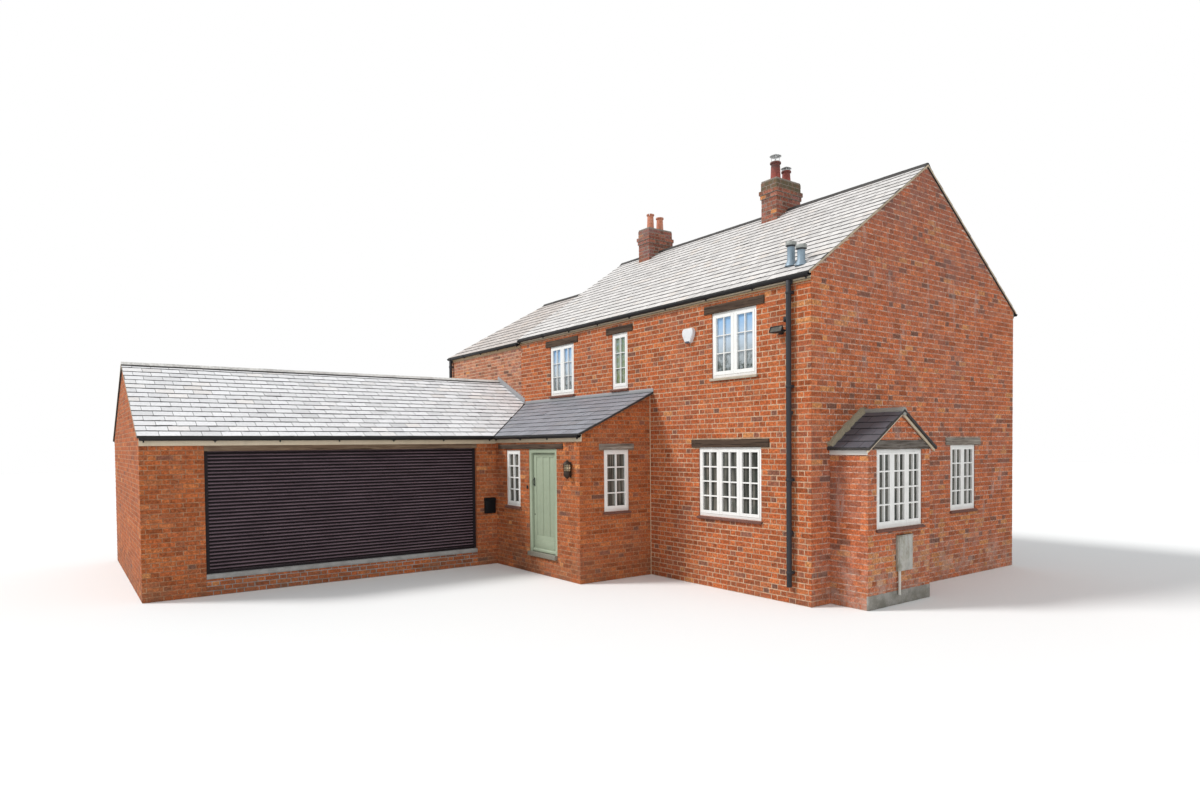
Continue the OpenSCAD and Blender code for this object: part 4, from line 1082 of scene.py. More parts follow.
class COTTAGE_OT_brickwork(Operator):
    """Lays the bricks of every wall"""
    bl_idname = "cottage.brickwork"
    bl_label = "Lay brickwork"

    def execute(self, context):
        bricks = settings("bricks")
        patterns = brick_patterns(bricks.proud)
        openings = [solids(n) for n in ("window_frames", "lintels", "door_frame")]
        wing_roof = [Face([n], UP) for n in ("garage_roof_front", "garage_roof_rear")]
        porch_roof = Face(["porch_roof"], UP)
        bay_roof = [Face(["bay_roof"], UP + FRONT), Face(["bay_roof"], UP + BACK)]
        ext_roof = [Face([n], UP) for n in ("extension_roof_front", "extension_roof_rear")]
        gable_x, left_x = high("main_gable_wall").x, low("main_left_gable").x
        front_y, rear_y = low("main_front_wall").y, high("main_rear_wall").y
        ext_x, ext_y = low("extension_end_wall").x, high("extension_rear_wall").y
        wing_x, wing_back = high("garage_pier_left").x, low("garage_rear_wall").x
        wing_y = low("garage_end_wall").y
        porch_x, porch_y = high("porch_side_wall").x, low("porch_wall_left").y
        bay_lo, bay_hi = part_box("bay_walls")

        def under_wing(p):
            return min(f.height_at(p.x,
                                   front_y) for f in wing_roof) if wing_back < p.x < wing_x + 0.001 else 0.0

        def under_porch(p):
            return porch_roof.height_at(p.x, front_y) if wing_x - 1.45 < p.x < porch_x else 0.0

        def under_bay(p):
            return min(f.height_at(bay_lo.x, p.y) for f in bay_roof) if bay_lo.y < p.y < bay_hi.y else 0.0

        def under_extension(p):
            return min(f.height_at(left_x, p.y) for f in ext_roof) if p.y < ext_y else 0.0

        old, new = bricks.old_course, bricks.new_course
        out = bricks.proud
        plan = {
            "bricks_main_front": ("old", [
                Wall(["main_front_wall"], FRONT, -front_y, old, 1, (under_wing, under_porch),
                     (left_x, gable_x + out))]),
            "bricks_gable": ("gable", [
                Wall(["main_gable_wall", "main_front_wall", "main_rear_wall"], EAST, gable_x, old, 2,
                     (under_bay,))]),
            "bricks_main_rear": ("old", [
                Wall(["main_rear_wall"], BACK, rear_y, old, 3, (), (-gable_x - out, -left_x + out))]),
            "bricks_left_gable": ("gable", [
                Wall(["main_left_gable", "main_front_wall", "main_rear_wall"], WEST, -left_x, old, 4,
                     (under_extension,))]),
            "bricks_extension": ("pale", [
                Wall(["extension_front_wall"], FRONT, -front_y, EXTENSION_COURSE, 5, (under_wing,),
                     (ext_x - out, left_x)),
                Wall(["extension_end_wall", "extension_front_wall", "extension_rear_wall"], WEST, -ext_x,
                     EXTENSION_COURSE, 6),
                Wall(["extension_rear_wall"], BACK, ext_y, EXTENSION_COURSE, 7, (),
                     (-left_x, -ext_x + out))]),
            "bricks_garage": ("new", [
                Wall(["garage_pier_left"], EAST, wing_x, new, 8),
                Wall(["garage_wall_right"], EAST, wing_x, new, 9, (), (low("garage_wall_right").y, porch_y)),
                Wall(Face.panel(EAST, low("garage_threshold"), high("garage_threshold") - UP * 0.075), EAST,
                     wing_x, new, 17),
                Wall(["garage_end_wall", "garage_pier_left", "garage_rear_wall"], FRONT, -wing_y, new, 10, (),
                     (wing_back - out, wing_x + out)),
                Wall(["garage_rear_wall"], WEST, -wing_back, new, 11)]),
            "bricks_porch": ("new", [
                Wall(["porch_wall_left", "porch_wall_centre", "porch_wall_right"], FRONT, -porch_y, new, 12,
                     (),
                     (wing_x, porch_x + out)),
                Wall(["porch_side_wall", "porch_wall_right"], EAST, porch_x, new, 13, (),
                     (porch_y, front_y))]),
            "bricks_bay": ("gable", [
                Wall(["bay_walls"], EAST, bay_hi.x, BAY_COURSE, 14),
                Wall(["bay_walls"], FRONT, -bay_lo.y, BAY_COURSE, 15, (), (bay_lo.x, bay_hi.x + out)),
                Wall(["bay_walls"], BACK, bay_hi.y, BAY_COURSE, 16, (), (-bay_hi.x - out, -bay_lo.x))]),
        }
        weather = {
            "old": {"lime": 0.32, "smear": (0.58, 0.41, 0.28), "grey": 0.20, "damp": 0.5},
            "gable": {"lime": 0.56, "smear": (0.62, 0.46, 0.36), "grey": 0.32, "damp": 0.5, "salts": 0.5,
                      "high": (4.4, 6.8, 0.50)},
            "pale": {"lime": 0.40, "smear": (0.58, 0.42, 0.31), "grey": 0.15, "damp": 0.5},
            "new": {"lime": 0.22, "smear": (0.50, 0.30, 0.16), "grey": 0.15, "damp": 0.6},
        }
        # the gable's bricks are a paler copy of the old red: partly their own weathering, partly painted
        # light that makes up for the weaker light on the gable
        usual = {"old": bricks.old_red,
                 "gable": (bricks.old_red[0] * 1.14, bricks.old_red[1] * 1.24, bricks.old_red[2] * 1.5),
                 "pale": bricks.pale_red, "new": bricks.new_red}
        looks = {k: brick_look("brick_" + k, tuple(usual[k]), bricks.old_dark, bricks.old_orange, weather[k])
                 for k in weather}
        self.meet(plan, wing_back, wing_x, porch_x, bay_lo, bay_hi, ext_y)
        for name, (kind, walls) in plan.items():
            batches = []
            for wall in walls:
                for boxes in openings:
                    wall.cut(boxes)
                rng = np.random.default_rng(wall.seed)
                dark, bright = {"gable": (0.055, 0.03), "new": (0.02, 0.012),
                                "pale": (0.05, 0.03)}.get(kind, (0.04, 0.012))
                batches += lay_wall(wall, patterns, bricks, rng, dark, bright,
                                    narrow=0.7 if kind == "gable" else 1.0)
            finish(lay(name, batches), looks[kind])
        top = porch_roof.height_at(porch_x, front_y) - 0.05
        fillet = beam("corner_pointing", (porch_x - 0.002, front_y - 0.013, 0.001),
                      (porch_x + 0.013, front_y + 0.002, top), 0.1, 0.005)
        pointing = stone_look("corner_mortar", tuple(bricks.lime), 0.4, 0.2).material
        finish(roughen(fillet, 0.006, 0.05), pointing, smooth=50)
        return {"FINISHED"}

    def meet(self, plan, wing_back, wing_x, porch_x, bay_lo, bay_hi, ext_y):
        """Stops the bricks where another wall meets theirs, and marks the repairs."""
        ground = -1.0
        eaves = low("garage_roof_front").z - 0.1
        front, gable = plan["bricks_main_front"][1][0], plan["bricks_gable"][1][0]
        front.holes += [(wing_back, wing_x, ground, eaves),
                        (wing_x - 0.01, porch_x, ground, high("porch_side_wall").z)]
        gable.holes.append((bay_lo.y, bay_hi.y, ground, low("bay_roof").z))
        plan["bricks_left_gable"][1][0].holes.append((-ext_y, -low("main_front_wall").y, ground,
                                                      low("extension_roof_front").z))
        plan["bricks_extension"][1][0].holes.append((wing_back, wing_x, ground, eaves))
        x, y = high("main_gable_wall").x, low("main_front_wall").y
        front.patches = [(x - 0.36, x, 4.43, 4.52, 1), (x - 0.26, x, 4.18, 4.27, 1),
                         (x - 3.32, x - 3.1, 2.93, 3.02, 1),
                         (x - 0.5, x, 0.3, 1.1, 0.12)]
        gable.patches = [(y, y + 0.3, 4.43, 4.52, 1), (y, y + 0.24, 4.18, 4.27, 1),
                         (y + 0.2, y + 0.45, 3.92, 4.0, 1),
                         (y + 0.6, y + 0.9, 4.24, 4.33, 1), (y + 0.3, y + 0.55, 3.17, 3.26, 1),
                         (y + 1.0, y + 1.2, 3.34, 3.43, 1),
                         (y + 0.4, y + 0.6, 3.75, 3.84, 1), (y + 2.1, y + 6.2, 0.2, 1.2, 0.16)]
        plan["bricks_bay"][1][0].patches = [(bay_lo.y, bay_hi.y, 0.3, 1.1, 0.45)]
        vent = porch_x - AIRBRICK[0]
        plan["bricks_porch"][1][0].holes.append((vent - 0.088, vent + 0.088, AIRBRICK[1] - 0.038,
                                                 AIRBRICK[1] + 0.038))


class COTTAGE_OT_walls(Operator):
    """Finishes the bodies of the walls: mortar outside, plaster inside"""
    bl_idname = "cottage.walls"
    bl_label = "Finish walls"

    def execute(self, context):
        bricks = settings("bricks")
        plaster = (0.62, 0.60, 0.55)
        # mortar, bricks, height of a course, and how much the mortar is stained by the bricks
        old = (bricks.lime, bricks.old_red, bricks.old_course, 0.35)
        gable = (bricks.pink_mortar, bricks.old_red, bricks.old_course, 0.75)
        bay = (bricks.pink_mortar, bricks.old_red, BAY_COURSE, 0.75)
        pale = (bricks.lime, bricks.pale_red, EXTENSION_COURSE, 0.35)
        new = (bricks.new_mortar, bricks.new_red, bricks.new_course, 0.55)
        plan = {
            "main_front_wall": (FRONT, old), "main_rear_wall": (BACK, old),
            "main_gable_wall": (EAST, gable), "main_left_gable": (WEST, gable), "bay_walls": (EAST, bay),
            "extension_front_wall": (FRONT, pale), "extension_rear_wall": (BACK, pale),
            "extension_end_wall": (WEST, pale),
            "garage_pier_left": (EAST, new), "garage_wall_right": (EAST, new),
            "garage_end_wall": (FRONT, new), "garage_rear_wall": (WEST, new),
            "porch_wall_left": (FRONT, new), "porch_wall_right": (FRONT, new),
            "porch_wall_centre": (FRONT, new), "porch_side_wall": (EAST, new),
        }
        for node, (outward, (mortar, brick, course, stained)) in plan.items():
            coat(node, wall_look("body_" + node, mortar, plaster, outward, brick, course, stained))
        return {"FINISHED"}


def coat(node, material):
    """Gives a node of the frame its material."""
    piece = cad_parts[node]
    for i in range(len(piece.material_slots)):
        piece.material_slots[i].material = material
    if not piece.material_slots:
        piece.data.materials.append(material)


class COTTAGE_OT_roofs(Operator):
    """Lays the slates of every slope"""
    bl_idname = "cottage.roofs"
    bl_label = "Lay slates"

    def execute(self, context):
        roofs = settings("roofs")
        patterns = slate_patterns(roofs.thickness, 0.24)
        house, wing, porch, bay = (tuple(c) for c in (roofs.old_slate, roofs.wing_slate, roofs.porch_slate,
                                                      roofs.bay_slate))
        old = slate_look("slates_old", house, 0.5, 0.2, 0.97, 0.725)
        worn = slate_look("slates_extension", (house[0] * 0.84, house[1] * 0.79, house[2] * 0.76), 0.6, 0.35,
                          0.97, 0.72)
        pale = slate_look("slates_wing", wing, 0.3, 0.15, 0.97, 0.745)
        blue = slate_look("slates_porch", porch, 0.2, 0.25, 0.8)
        dark = slate_look("slates_bay", bay, 0.5, 0.3, 0.85)
        big = (roofs.wing_gauge, roofs.wing_width)
        small = (roofs.gauge, roofs.width)
        plan = {"main_roof_front": (old, small, EAST), "main_roof_rear": (old, small, EAST),
                "extension_roof_front": (worn, small, EAST), "extension_roof_rear": (worn, small, EAST),
                "extension_roof_hip": (worn, small, EAST), "garage_roof_front": (pale, big, FRONT),
                "garage_roof_rear": (pale, big, FRONT), "porch_roof": (blue, (roofs.wing_gauge, 0.27), None),
                "bay_roof": (dark, (roofs.bay_gauge, 0.28), None)}
        lift = (0.0065, -0.0015)
        for seed, (node, (look, (gauge, width), verge)) in enumerate(plan.items()):
            sides = (UP + FRONT, UP + BACK) if node == "bay_roof" else (UP,)
            distance = {"garage_roof_front": 0.016, "porch_roof": 0.016, "bay_roof": 0}.get(node, 0.005)
            batches = []
            for k, side in enumerate(sides):
                face = Face([node], side)
                if distance:
                    face.trim(distance)
                batches += lay_slates(face, patterns, gauge, width, np.random.default_rng(40 + seed + 10 * k),
                                      lift,
                                      0.07 if node.startswith("garage") else 0.03)
            finish(lay("slates_" + node, batches), look)
            if verge is None:
                # near-black bed: painted shade in the gaps between the slates
                plain = Look(node + "_bed", (0.03, 0.028, 0.028), 0.92)
                plain.color(plain.ramp(plain.noise(30, 4),
                                       [(0.3, (0.02, 0.018, 0.018)), (0.7, (0.05, 0.045, 0.042))]))
                coat(node, plain.material)
            else:
                coat(node, bed_look(node + "_bed", verge))
        return {"FINISHED"}


class COTTAGE_OT_chimneys(Operator):
    """Builds up the chimney stacks and sets the pots, cowls and flues"""
    bl_idname = "cottage.chimneys"
    bl_label = "Build chimneys"

    def execute(self, context):
        bricks = settings("bricks")
        patterns = brick_patterns(bricks.proud)
        slopes = [Face(["main_roof_front"], UP), Face(["main_roof_rear"], UP)]

        def above(p):
            return min(f.height_at(p.x, p.y) for f in slopes) - 0.01

        batches = []
        course, shaft_in, flaunch = 0.084, 0.036, 0.030
        stacks = solids("chimney_stacks")
        for n, (a, b) in enumerate(stacks):
            top = b.z - flaunch
            tiers = [(shaft_in, a.z, top - 4 * course),
                     (shaft_in - 0.018, top - 4 * course, top - 3 * course),
                     (0, top - 3 * course, top - 2 * course), (shaft_in - 0.006, top - 2 * course, top)]
            for t, (inset, z0, z1) in enumerate(tiers):
                lo, hi = Vector((a.x + inset, a.y + inset, z0)), Vector((b.x - inset, b.y - inset, z1))
                for k, side in enumerate((FRONT, EAST, BACK, WEST)):
                    wall = Wall(Face.panel(side, lo, hi), side, 0, course, 90 + 20 * n + 4 * t + k, (above,),
                                datum=top)
                    out = bricks.proud if k % 2 == 0 else 0
                    wall.limits = (wall.span[0] - out, wall.span[1] + out)
                    rng = np.random.default_rng(wall.seed)
                    batches += lay_wall(wall, patterns, bricks, rng, 0.30, 0.02)
        weather = {"lime": 0.40, "smear": (0.50, 0.40, 0.33), "grey": 0.8, "damp": 0.0}
        moss = (max(a.x for a, b in stacks) - 0.15, max(b.z for a, b in stacks))
        look = brick_look("brick_stack", (0.29, 0.098, 0.062), bricks.old_dark, bricks.old_orange, weather,
                          moss)
        finish(lay("bricks_chimneys", batches), look)
        body = stone_look("stack_mortar", (0.26, 0.215, 0.18), 0.4, 0.6).material
        coat("chimney_stacks", body)
        for n, (a, b) in enumerate(stacks):
            cap = beam("flaunching", (a.x + 0.03, a.y + 0.03, b.z - 0.032),
                       (b.x - 0.03, b.y - 0.03, b.z + 0.004), 0.1, 0.014)
            finish(roughen(cap, 0.014, 0.1), body, smooth=60)
            cap.name = "flaunching_%d" % n
        salmon = clay_look("pot_clay", (0.50, 0.19, 0.11), 7.95, 8.2, (0.64, 0.42, 0.33))
        pale = salmon.base()
        dark = salmon.grained((0.29, 0.062, 0.045), salmon.noise(24, 5, 0.65), (0.3, 0.6), (0.7, 1.35))
        rim = salmon.times(salmon.span(salmon.axis("Z"), 7.80, 8.02),
                           salmon.span(salmon.noise(11, 4), 0.3, 0.6, 0.3, 0.9))
        dark = salmon.mix(rim, dark, (0.04, 0.026, 0.024))
        salmon.color(salmon.mix(salmon.span(salmon.axis("X"), 0.0, 0.1), pale, dark))
        dress("chimney_pots", "clay_pots", salmon.material, 0.006, 2, 50, smooth=45)
        zinc = metal_look("cowl_zinc", (0.46, 0.47, 0.47), 0.42, 0.75, amount=0.35)
        dress("pot_cowls", "zinc_cowls", zinc.material, 0.003, 2, smooth=45)
        flue = metal_look("flue_steel", (0.20, 0.27, 0.33), 0.40, 0.4, amount=0.3)
        body = flue.base()
        (a, b), (c, d) = solids("roof_flues")
        between = (a.x + b.x + c.x + d.x) / 4
        second = flue.span(flue.axis("X"), between - 0.002, between + 0.002)
        up = flue.math("SUBTRACT", flue.axis("Z"), flue.times(second, d.z - b.z))
        cap = flue.span(up, b.z - 0.064, b.z - 0.060)
        topped = flue.mix(cap, body, flue.ramp(flue.noise(20, 4),
                                               [(0.3, (0.20, 0.21, 0.20)), (0.7, (0.34, 0.35, 0.33))]))
        # painted shadow: a dark band just under each cap
        under = flue.times(flue.span(up, b.z - 0.084, b.z - 0.074), flue.span(up, b.z - 0.054, b.z - 0.058))
        flue.color(flue.mix(under, topped, (0.05, 0.055, 0.06)))
        dress("roof_flues", "steel_flues", flue.material, 0.004, 2, smooth=45)
        return {"FINISHED"}


class COTTAGE_OT_eaves(Operator):
    """Finishes the ridges, leadwork, fascias, gutters and downpipes"""
    bl_idname = "cottage.eaves"
    bl_label = "Finish eaves and ridges"

    def execute(self, context):
        joinery = settings("joinery")
        # near-black caps: partly the clay's colour, partly painted shade
        self.ridges(stone_look("ridge_clay", (0.045, 0.041, 0.039), 0.35, 0.5))
        lead = metal_look("old_lead", (0.30, 0.30, 0.31), 0.6, 0.35, (0.42, 0.41, 0.38), 0.5).material
        sheet = node_copy("lead_flashings", "lead_flashing")
        with Edit(sheet, "FACE", lambda f: f.normal.y < -0.9):
            bpy.ops.transform.translate(value=(0, -0.006, 0))
        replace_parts(round_off(sheet, 0.0025, 2), "lead_flashings")
        finish(sheet, lead, smooth=40)
        self.fascias(tuple(joinery.cream))
        self.gutters()
        return {"FINISHED"}

    def ridges(self, look):
        """Ridge caps: near-black and slim on the house, pale above a dark tail on the wing; the near-black is
        partly the clay's colour and partly painted shade, the dark tail painted shadow.
        """
        caps = node_copy("ridge_tiles", "ridge_caps")
        rows = {}
        for a, b in solids("ridge_tiles"):
            key = ("across", round(a.x, 3)) if b.y - a.y > 0.3 else ("along", round(a.y, 3))
            rows.setdefault(key, []).append((a, b))
        tops = [b.z for row in rows.values() for a, b in row]
        with Edit(caps, "VERT", lambda p: min(abs(p.z - z) for z in tops) < 0.004):
            bpy.ops.transform.translate(value=(0, 0, -0.014))
        slimmer, apex_below = 0.72, 0.046
        for (way, _), row in rows.items():
            ax, ay, az = map(min, zip(*[a for a, b in row]))
            bx, by, bz = map(max, zip(*[b for a, b in row]))
            if way == "across":
                tail = az
                continue
            with Edit(caps, "VERT", lambda p: ax < p.x + 0.002 and p.x < bx + 0.002 and ay < p.y + 0.002
                      and p.y < by + 0.002):
                bpy.ops.transform.resize(value=(1, slimmer, slimmer),
                                         center_override=(0, (ay + by) / 2, bz - apex_below))
        clay = look.base()
        front = low("main_front_wall").y
        # on the wing the caps are pale above their tail, whose dark edge stays as painted shadow under them
        pale = look.times(look.span(look.axis("Y"), front, front - 0.002),
                         look.span(look.math("ADD", look.axis("Z"), look.times(look.noise(9, 4), 0.008)),
                                   tail + 0.042, tail + 0.045))
        pale_crown = look.ramp(look.noise(22, 5, 0.65), [(0.3, (0.46, 0.44, 0.41)), (0.7, (0.82, 0.80, 0.76))])
        look.color(look.mix(pale, clay, pale_crown))
        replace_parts(round_off(caps, 0.006, 2, 25), "ridge_tiles")
        finish(caps, look.material, smooth=45)

    def fascias(self, cream):
        """Worn cream boards, ochre below a thin dark line at the main eaves, and white on the bay; the dark
        line is painted shade of a groove.
        """
        look = paint_look("fascia_paint", cream, dirt=0.4, worn=0.5, under=(0.30, 0.21, 0.14))
        source = look.base()
        gable, bay = high("main_gable_wall").x, high("bay_walls").x
        white = look.times(look.span(look.axis("X"), gable, gable + 0.002),
                           look.span(look.axis("X"), bay + 0.02, bay + 0.018))
        source = look.mix(white, source, (0.66, 0.64, 0.60))
        ochre = look.grained((0.40, 0.27, 0.14), look.noise(30, 5, 0.7), (0.3, 0.6), (0.7, 1.25))
        height = look.axis("Z")
        high_up = look.span(height, 3.6, 3.7)
        # painted shade: a thin dark line where a groove would be in shade
        groove = look.times(look.span(height, 4.834, 4.836), look.span(height, 4.846, 4.844))
        board = look.mix(look.span(height, 4.838, 4.842), ochre, source)
        board = look.mix(groove, board, (0.05, 0.035, 0.025))
        look.color(look.mix(high_up, source, board))
        dress("fascias", "fascia_boards", look.material, 0.003, 2)

    def gutters(self):
        """Gutters with brackets and sleeves, and downpipes with collars."""
        black = metal_look("gutter_black", (0.014, 0.014, 0.015), 0.45, 0.0, (0.09, 0.08, 0.07), 0.25, 0.25)
        dress("gutters", "gutter_lengths", black.material, 0.002, 1, smooth=45)
        grey = metal_look("downpipe_grey", (0.026, 0.026, 0.031), 0.42, 0.0, (0.10, 0.09, 0.08), 0.2, 0.25)
        dress("downpipes", "downpipe_lengths", grey.material, 0.002, 1, smooth=45)
        straps, lugs, bracket_gap = [], [], 0.95
        for a, b in solids("gutters"):
            size = b - a
            axis = 0 if size.x > size.y else 1
            wide = min(size.x, size.y)
            count = max(1, int(size[axis] / bracket_gap))
            for k in range(count + 1):
                spot = (a + b) / 2
                spot[axis] = a[axis] + 0.06 + (size[axis] - 0.12) * k / count
                width, proud = (0.055, 0.006) if k % 3 == 1 else (0.022, 0.004)  # a sleeve or a bracket
                radius = wide / 2 + proud
                turning = (0, math.pi / 2, 0) if axis == 0 else (math.pi / 2, 0, 0)
                ring = primitive("cylinder", "strap", vertices=28, radius=radius, depth=width,
                                 location=(spot.x, spot.y, b.z), rotation=turning)
                with Edit(ring):
                    bpy.ops.mesh.bisect(plane_co=(0, 0, b.z - 0.004), plane_no=(0, 0, 1), clear_outer=True,
                                        use_fill=True)
                with Edit(ring, "FACE", lambda f: f.normal.z > 0.9):
                    bpy.ops.mesh.inset(thickness=0.007)
                    bpy.ops.mesh.delete(type="FACE")
                straps.append(ring)
                half, drop = Vector((0.011, 0.011, 0)), Vector((0.011, 0.011, 0.016))
                under = Vector((spot.x, spot.y, b.z - radius - 0.006)) - drop
                over = Vector((spot.x, spot.y, b.z - radius + 0.012)) + half
                lugs.append(soft_block("lug", under, over, 0.003, 1))
        piece = modify(join("gutter_straps", straps), "SOLIDIFY", thickness=0.003, offset=-1)
        finish(join("gutter_brackets", [recalculate(piece), *lugs]), black.material,
               smooth=45)
        collars = []
        for a, b in solids("downpipes"):
            x, y = (a.x + b.x) / 2, a.y + 0.047 if low("main_front_wall").y - 0.2 < a.y < 0 else b.y - 0.047
            for z in (*np.arange(b.z - 2.0, a.z + 0.5, -1.8), b.z - 0.055):
                profile = [(0.0395, 0), (0.046, 0.002), (0.046, 0.050), (0.0395, 0.053)]
                collars.append(lathe("collar", profile, (x, y, z), 24))
        finish(join("pipe_collars", collars), grey.material, smooth=45)


class COTTAGE_OT_windows(Operator):
    """Fits the casements, glazing bars, glass, lintels and sills"""
    bl_idname = "cottage.windows"
    bl_label = "Fit windows"

    def execute(self, context):
        joinery = settings("joinery")
        white = paint_look("white_paint", tuple(joinery.white), dirt=0.22, worn=0.25,
                           under=(0.45, 0.40, 0.33)).material
        surrounds = self.surrounds(joinery.slim)
        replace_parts(round_off(surrounds, 0.0025, 2), "window_frames")
        finish(surrounds, white, smooth=35)
        frames = solids("window_frames")
        member = self.member(joinery.casement_proud, 0.0)
        bar = self.member(joinery.casement_proud - 0.003, -0.030)
        groups = {}
        for a, b in solids("window_glass"):
            middle = (a + b) / 2
            home = next((f for f in frames if all(p - 0.01 < m < q + 0.01 for p, m,
                                                  q in zip(f[0], middle, f[1]))))
            groups.setdefault(frames.index(home), []).append((a, b))
        batches = []
        rng = np.random.default_rng(71)
        for index, panes in groups.items():
            lo, hi = frames[index]
            axis = 0 if panes[0][1].x - panes[0][0].x < panes[0][1].y - panes[0][0].y else 1
            outward = Vector((0, 0, 0))
            outward[axis] = 1 if (panes[0][0] + panes[0][1])[axis] > (lo + hi)[axis] else -1
            along, up = axes(outward)
            plane = outward * (hi[axis] * outward[axis] if outward[axis] > 0 else -lo[axis])

            def quad(u0, u1, v0, v1, out=0.0):
                spots = [(u0, v0), (u1, v0), (u1, v1), (u0, v1)]
                jitter = rng.uniform(0, 0.0004)
                return [plane + along * u + up * v + outward * (out + jitter) for u, v in spots]

            sights = sorted(sorted((a.dot(along), b.dot(along))) + [a.z, b.z] for a, b in panes)
            upstairs = sights[0][2] > UPSTAIRS
            slim = 0.0 if upstairs else joinery.slim
            inset = REBATE - slim
            sights = [(s[0] + inset, s[1] - inset, s[2] + inset, s[3] - inset) for s in sights]
            rows = 3 if upstairs else 4
            edge, groove, half = 0.043 - slim, 0.0015, (joinery.upper_bar if upstairs
                                                        else joinery.bar_width) / 2
            rails, bars = [], []
            for k, (u0, u1, v0, v1) in enumerate(sights):
                left = (sights[k - 1][1] + u0) / 2 + groove if k else u0 - edge
                right = (u1 + sights[k + 1][0]) / 2 - groove if k + 1 < len(sights) else u1 + edge
                foot = v0 + 0.020
                rails += [quad(left, u0, v0 - edge, v1 + edge), quad(u1, right, v0 - edge, v1 + edge),
                          quad(u0, u1, v1, v1 + edge), quad(u0, u1, v0 - edge, foot)]
                middle = (u0 + u1) / 2
                bars.append(quad(middle - half, middle + half, foot, v1))
                for r in range(1, rows):
                    v = foot + (v1 - foot) * r / rows
                    bars.append(quad(u0, u1, v - half * 0.85, v + half * 0.85, -0.0008))
            for pattern, corners in ((member, rails), (bar, bars)):
                tones = rng.uniform(0, 1, (len(corners), 3))
                batches.append((pattern, corners, along, up, outward, tones, (0, 0)))
        finish(lay("casements", batches), white)
        coat("window_glass", self.glass_look().material)
        self.lintels(joinery)
        self.sills()
        return {"FINISHED"}

    def surrounds(self, slim):
        """The frames, with wider openings downstairs."""
        piece = node_copy("window_frames", "window_surrounds")
        for a, b in solids("window_glass"):
            if b.z > UPSTAIRS:
                continue
            middle, across = (a + b) / 2, 0 if b.x - a.x > b.y - a.y else 1
            wide, tall = b[across] - a[across] - 2 * REBATE, b.z - a.z - 2 * REBATE

            def on_sight(p):
                du, dv = abs(p[across] - middle[across]) - wide / 2, abs(p.z - middle.z) - tall / 2
                return abs(p[1 - across] - middle[1 - across]) < 0.12 and -0.002 < max(du, dv) < 0.002

            grow = [1, 1, 1 + 2 * slim / tall]
            grow[across] = 1 + 2 * slim / wide
            with Edit(piece, "VERT", on_sight):
                bpy.ops.transform.resize(value=grow, center_override=middle)
        return piece

    def member(self, front, back):
        """A planed length of wood with its front arrises eased."""
        piece = block("member", (0, -front, 0), (0.2, -back, 0.05))
        bevel(piece, 0.0025, lambda a, b: a.y < -front + 0.001 and b.y < -front + 0.001, clamp_overlap=True)
        return Pattern(piece, 0.2, 0.05)

    def glass_look(self):
        """Upstairs panes hold a painted reflection of a pale sky and dark foliage; those below are dark with
        pale folds, the dark being painted shade of the rooms behind.
        """
        look = Look("window_panes", (0.1, 0.11, 0.12), roughness=0.06, Specular_IOR_Level=0.35)
        # upstairs: a painted reflection of sky, clouds and foliage, by height
        height = look.axis("Z")
        reflected_clouds = look.noise(1.7, 4, 0.6, stretch=(1.0, 1.0, 1.6))
        sky = look.ramp(look.span(height, 3.60, 4.55), [(0.0, (0.13, 0.15, 0.15)), (0.28, (0.36, 0.40, 0.42)),
                                                        (0.6, (0.42, 0.52, 0.62)), (1.0, (0.20, 0.40, 0.66))])
        sky = look.stain(sky, reflected_clouds, 0.48, 0.66, 0.6, (0.50, 0.54, 0.57))
        reflected_leaves = look.noise(13, 6, 0.75)
        band = look.times(look.span(height, 4.05, 3.7), look.span(reflected_leaves, 0.46, 0.56))
        sky = look.mix(look.times(band, 0.85), sky, (0.035, 0.045, 0.03))
        green = look.times(look.span(look.axis("X"), 1.72, 1.64), look.span(look.axis("X"), 0.9, 1.0))
        sky = look.mix(look.times(green, look.span(reflected_leaves, 0.35, 0.6, 0.35, 0.95)), sky, (0.16, 0.20, 0.075))
        # downstairs: painted shade of the rooms behind, with pale folds
        folds = look.noise(9, 2, 0.5, stretch=(3.0, 3.0, 0.12))
        below = look.mix(look.span(folds, 0.42, 0.64), (0.035, 0.038, 0.033), (0.185, 0.175, 0.15))
        below = look.stain(below, look.noise(3, 3), 0.5, 0.7, 0.7, (0.055, 0.065, 0.055))
        look.color(look.mix(look.span(height, UPSTAIRS, UPSTAIRS + 0.1), below, sky))
        return look

    def lintels(self, joinery):
        """Hewn beams: brown-black on the front, bleached on the gable and the bay."""
        bay_lo, bay_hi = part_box("bay_walls")
        beams = {"front": [], "side": [], "bay": []}
        for n, (a, b) in enumerate(solids("lintels")):
            kind = "front" if b.x - a.x > b.y - a.y else "side"
            if a.x > bay_lo.x + 0.2 and kind == "side":
                kind = "bay"
                a, b = Vector((a.x, a.y - 0.02, a.z)), Vector((b.x + 0.008, bay_hi.y + 0.05, b.z + 0.024))
            beams[kind].append(beam("lintel_%d" % n, a, b, 0.06, 0.012 if kind == "bay" else 0.007))
        along_x, along_y = (0.05, 1.0, 1.0), (1.0, 0.05, 1.0)
        # colour, pale colour of the grain and of the painted highlight on top, way of the grain, depth and
        # size of the lumps
        kinds = {"front": (tuple(joinery.timber), (0.125, 0.085, 0.058), along_x, 0.011, 0.09),
                 "side": ((0.16, 0.13, 0.105), (0.44, 0.40, 0.345), along_y, 0.011, 0.09),
                 "bay": ((0.070, 0.055, 0.045), (0.27, 0.245, 0.215), along_y, 0.020, 0.16)}
        for kind, (color, pale, grain, depth, lump) in kinds.items():
            piece = roughen(join("timber_lintels_" + kind, beams[kind]), depth, lump)
            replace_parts(piece, "lintels")
            finish(piece, timber_look("old_oak_" + kind, color, pale, grain).material,
                   smooth=50)

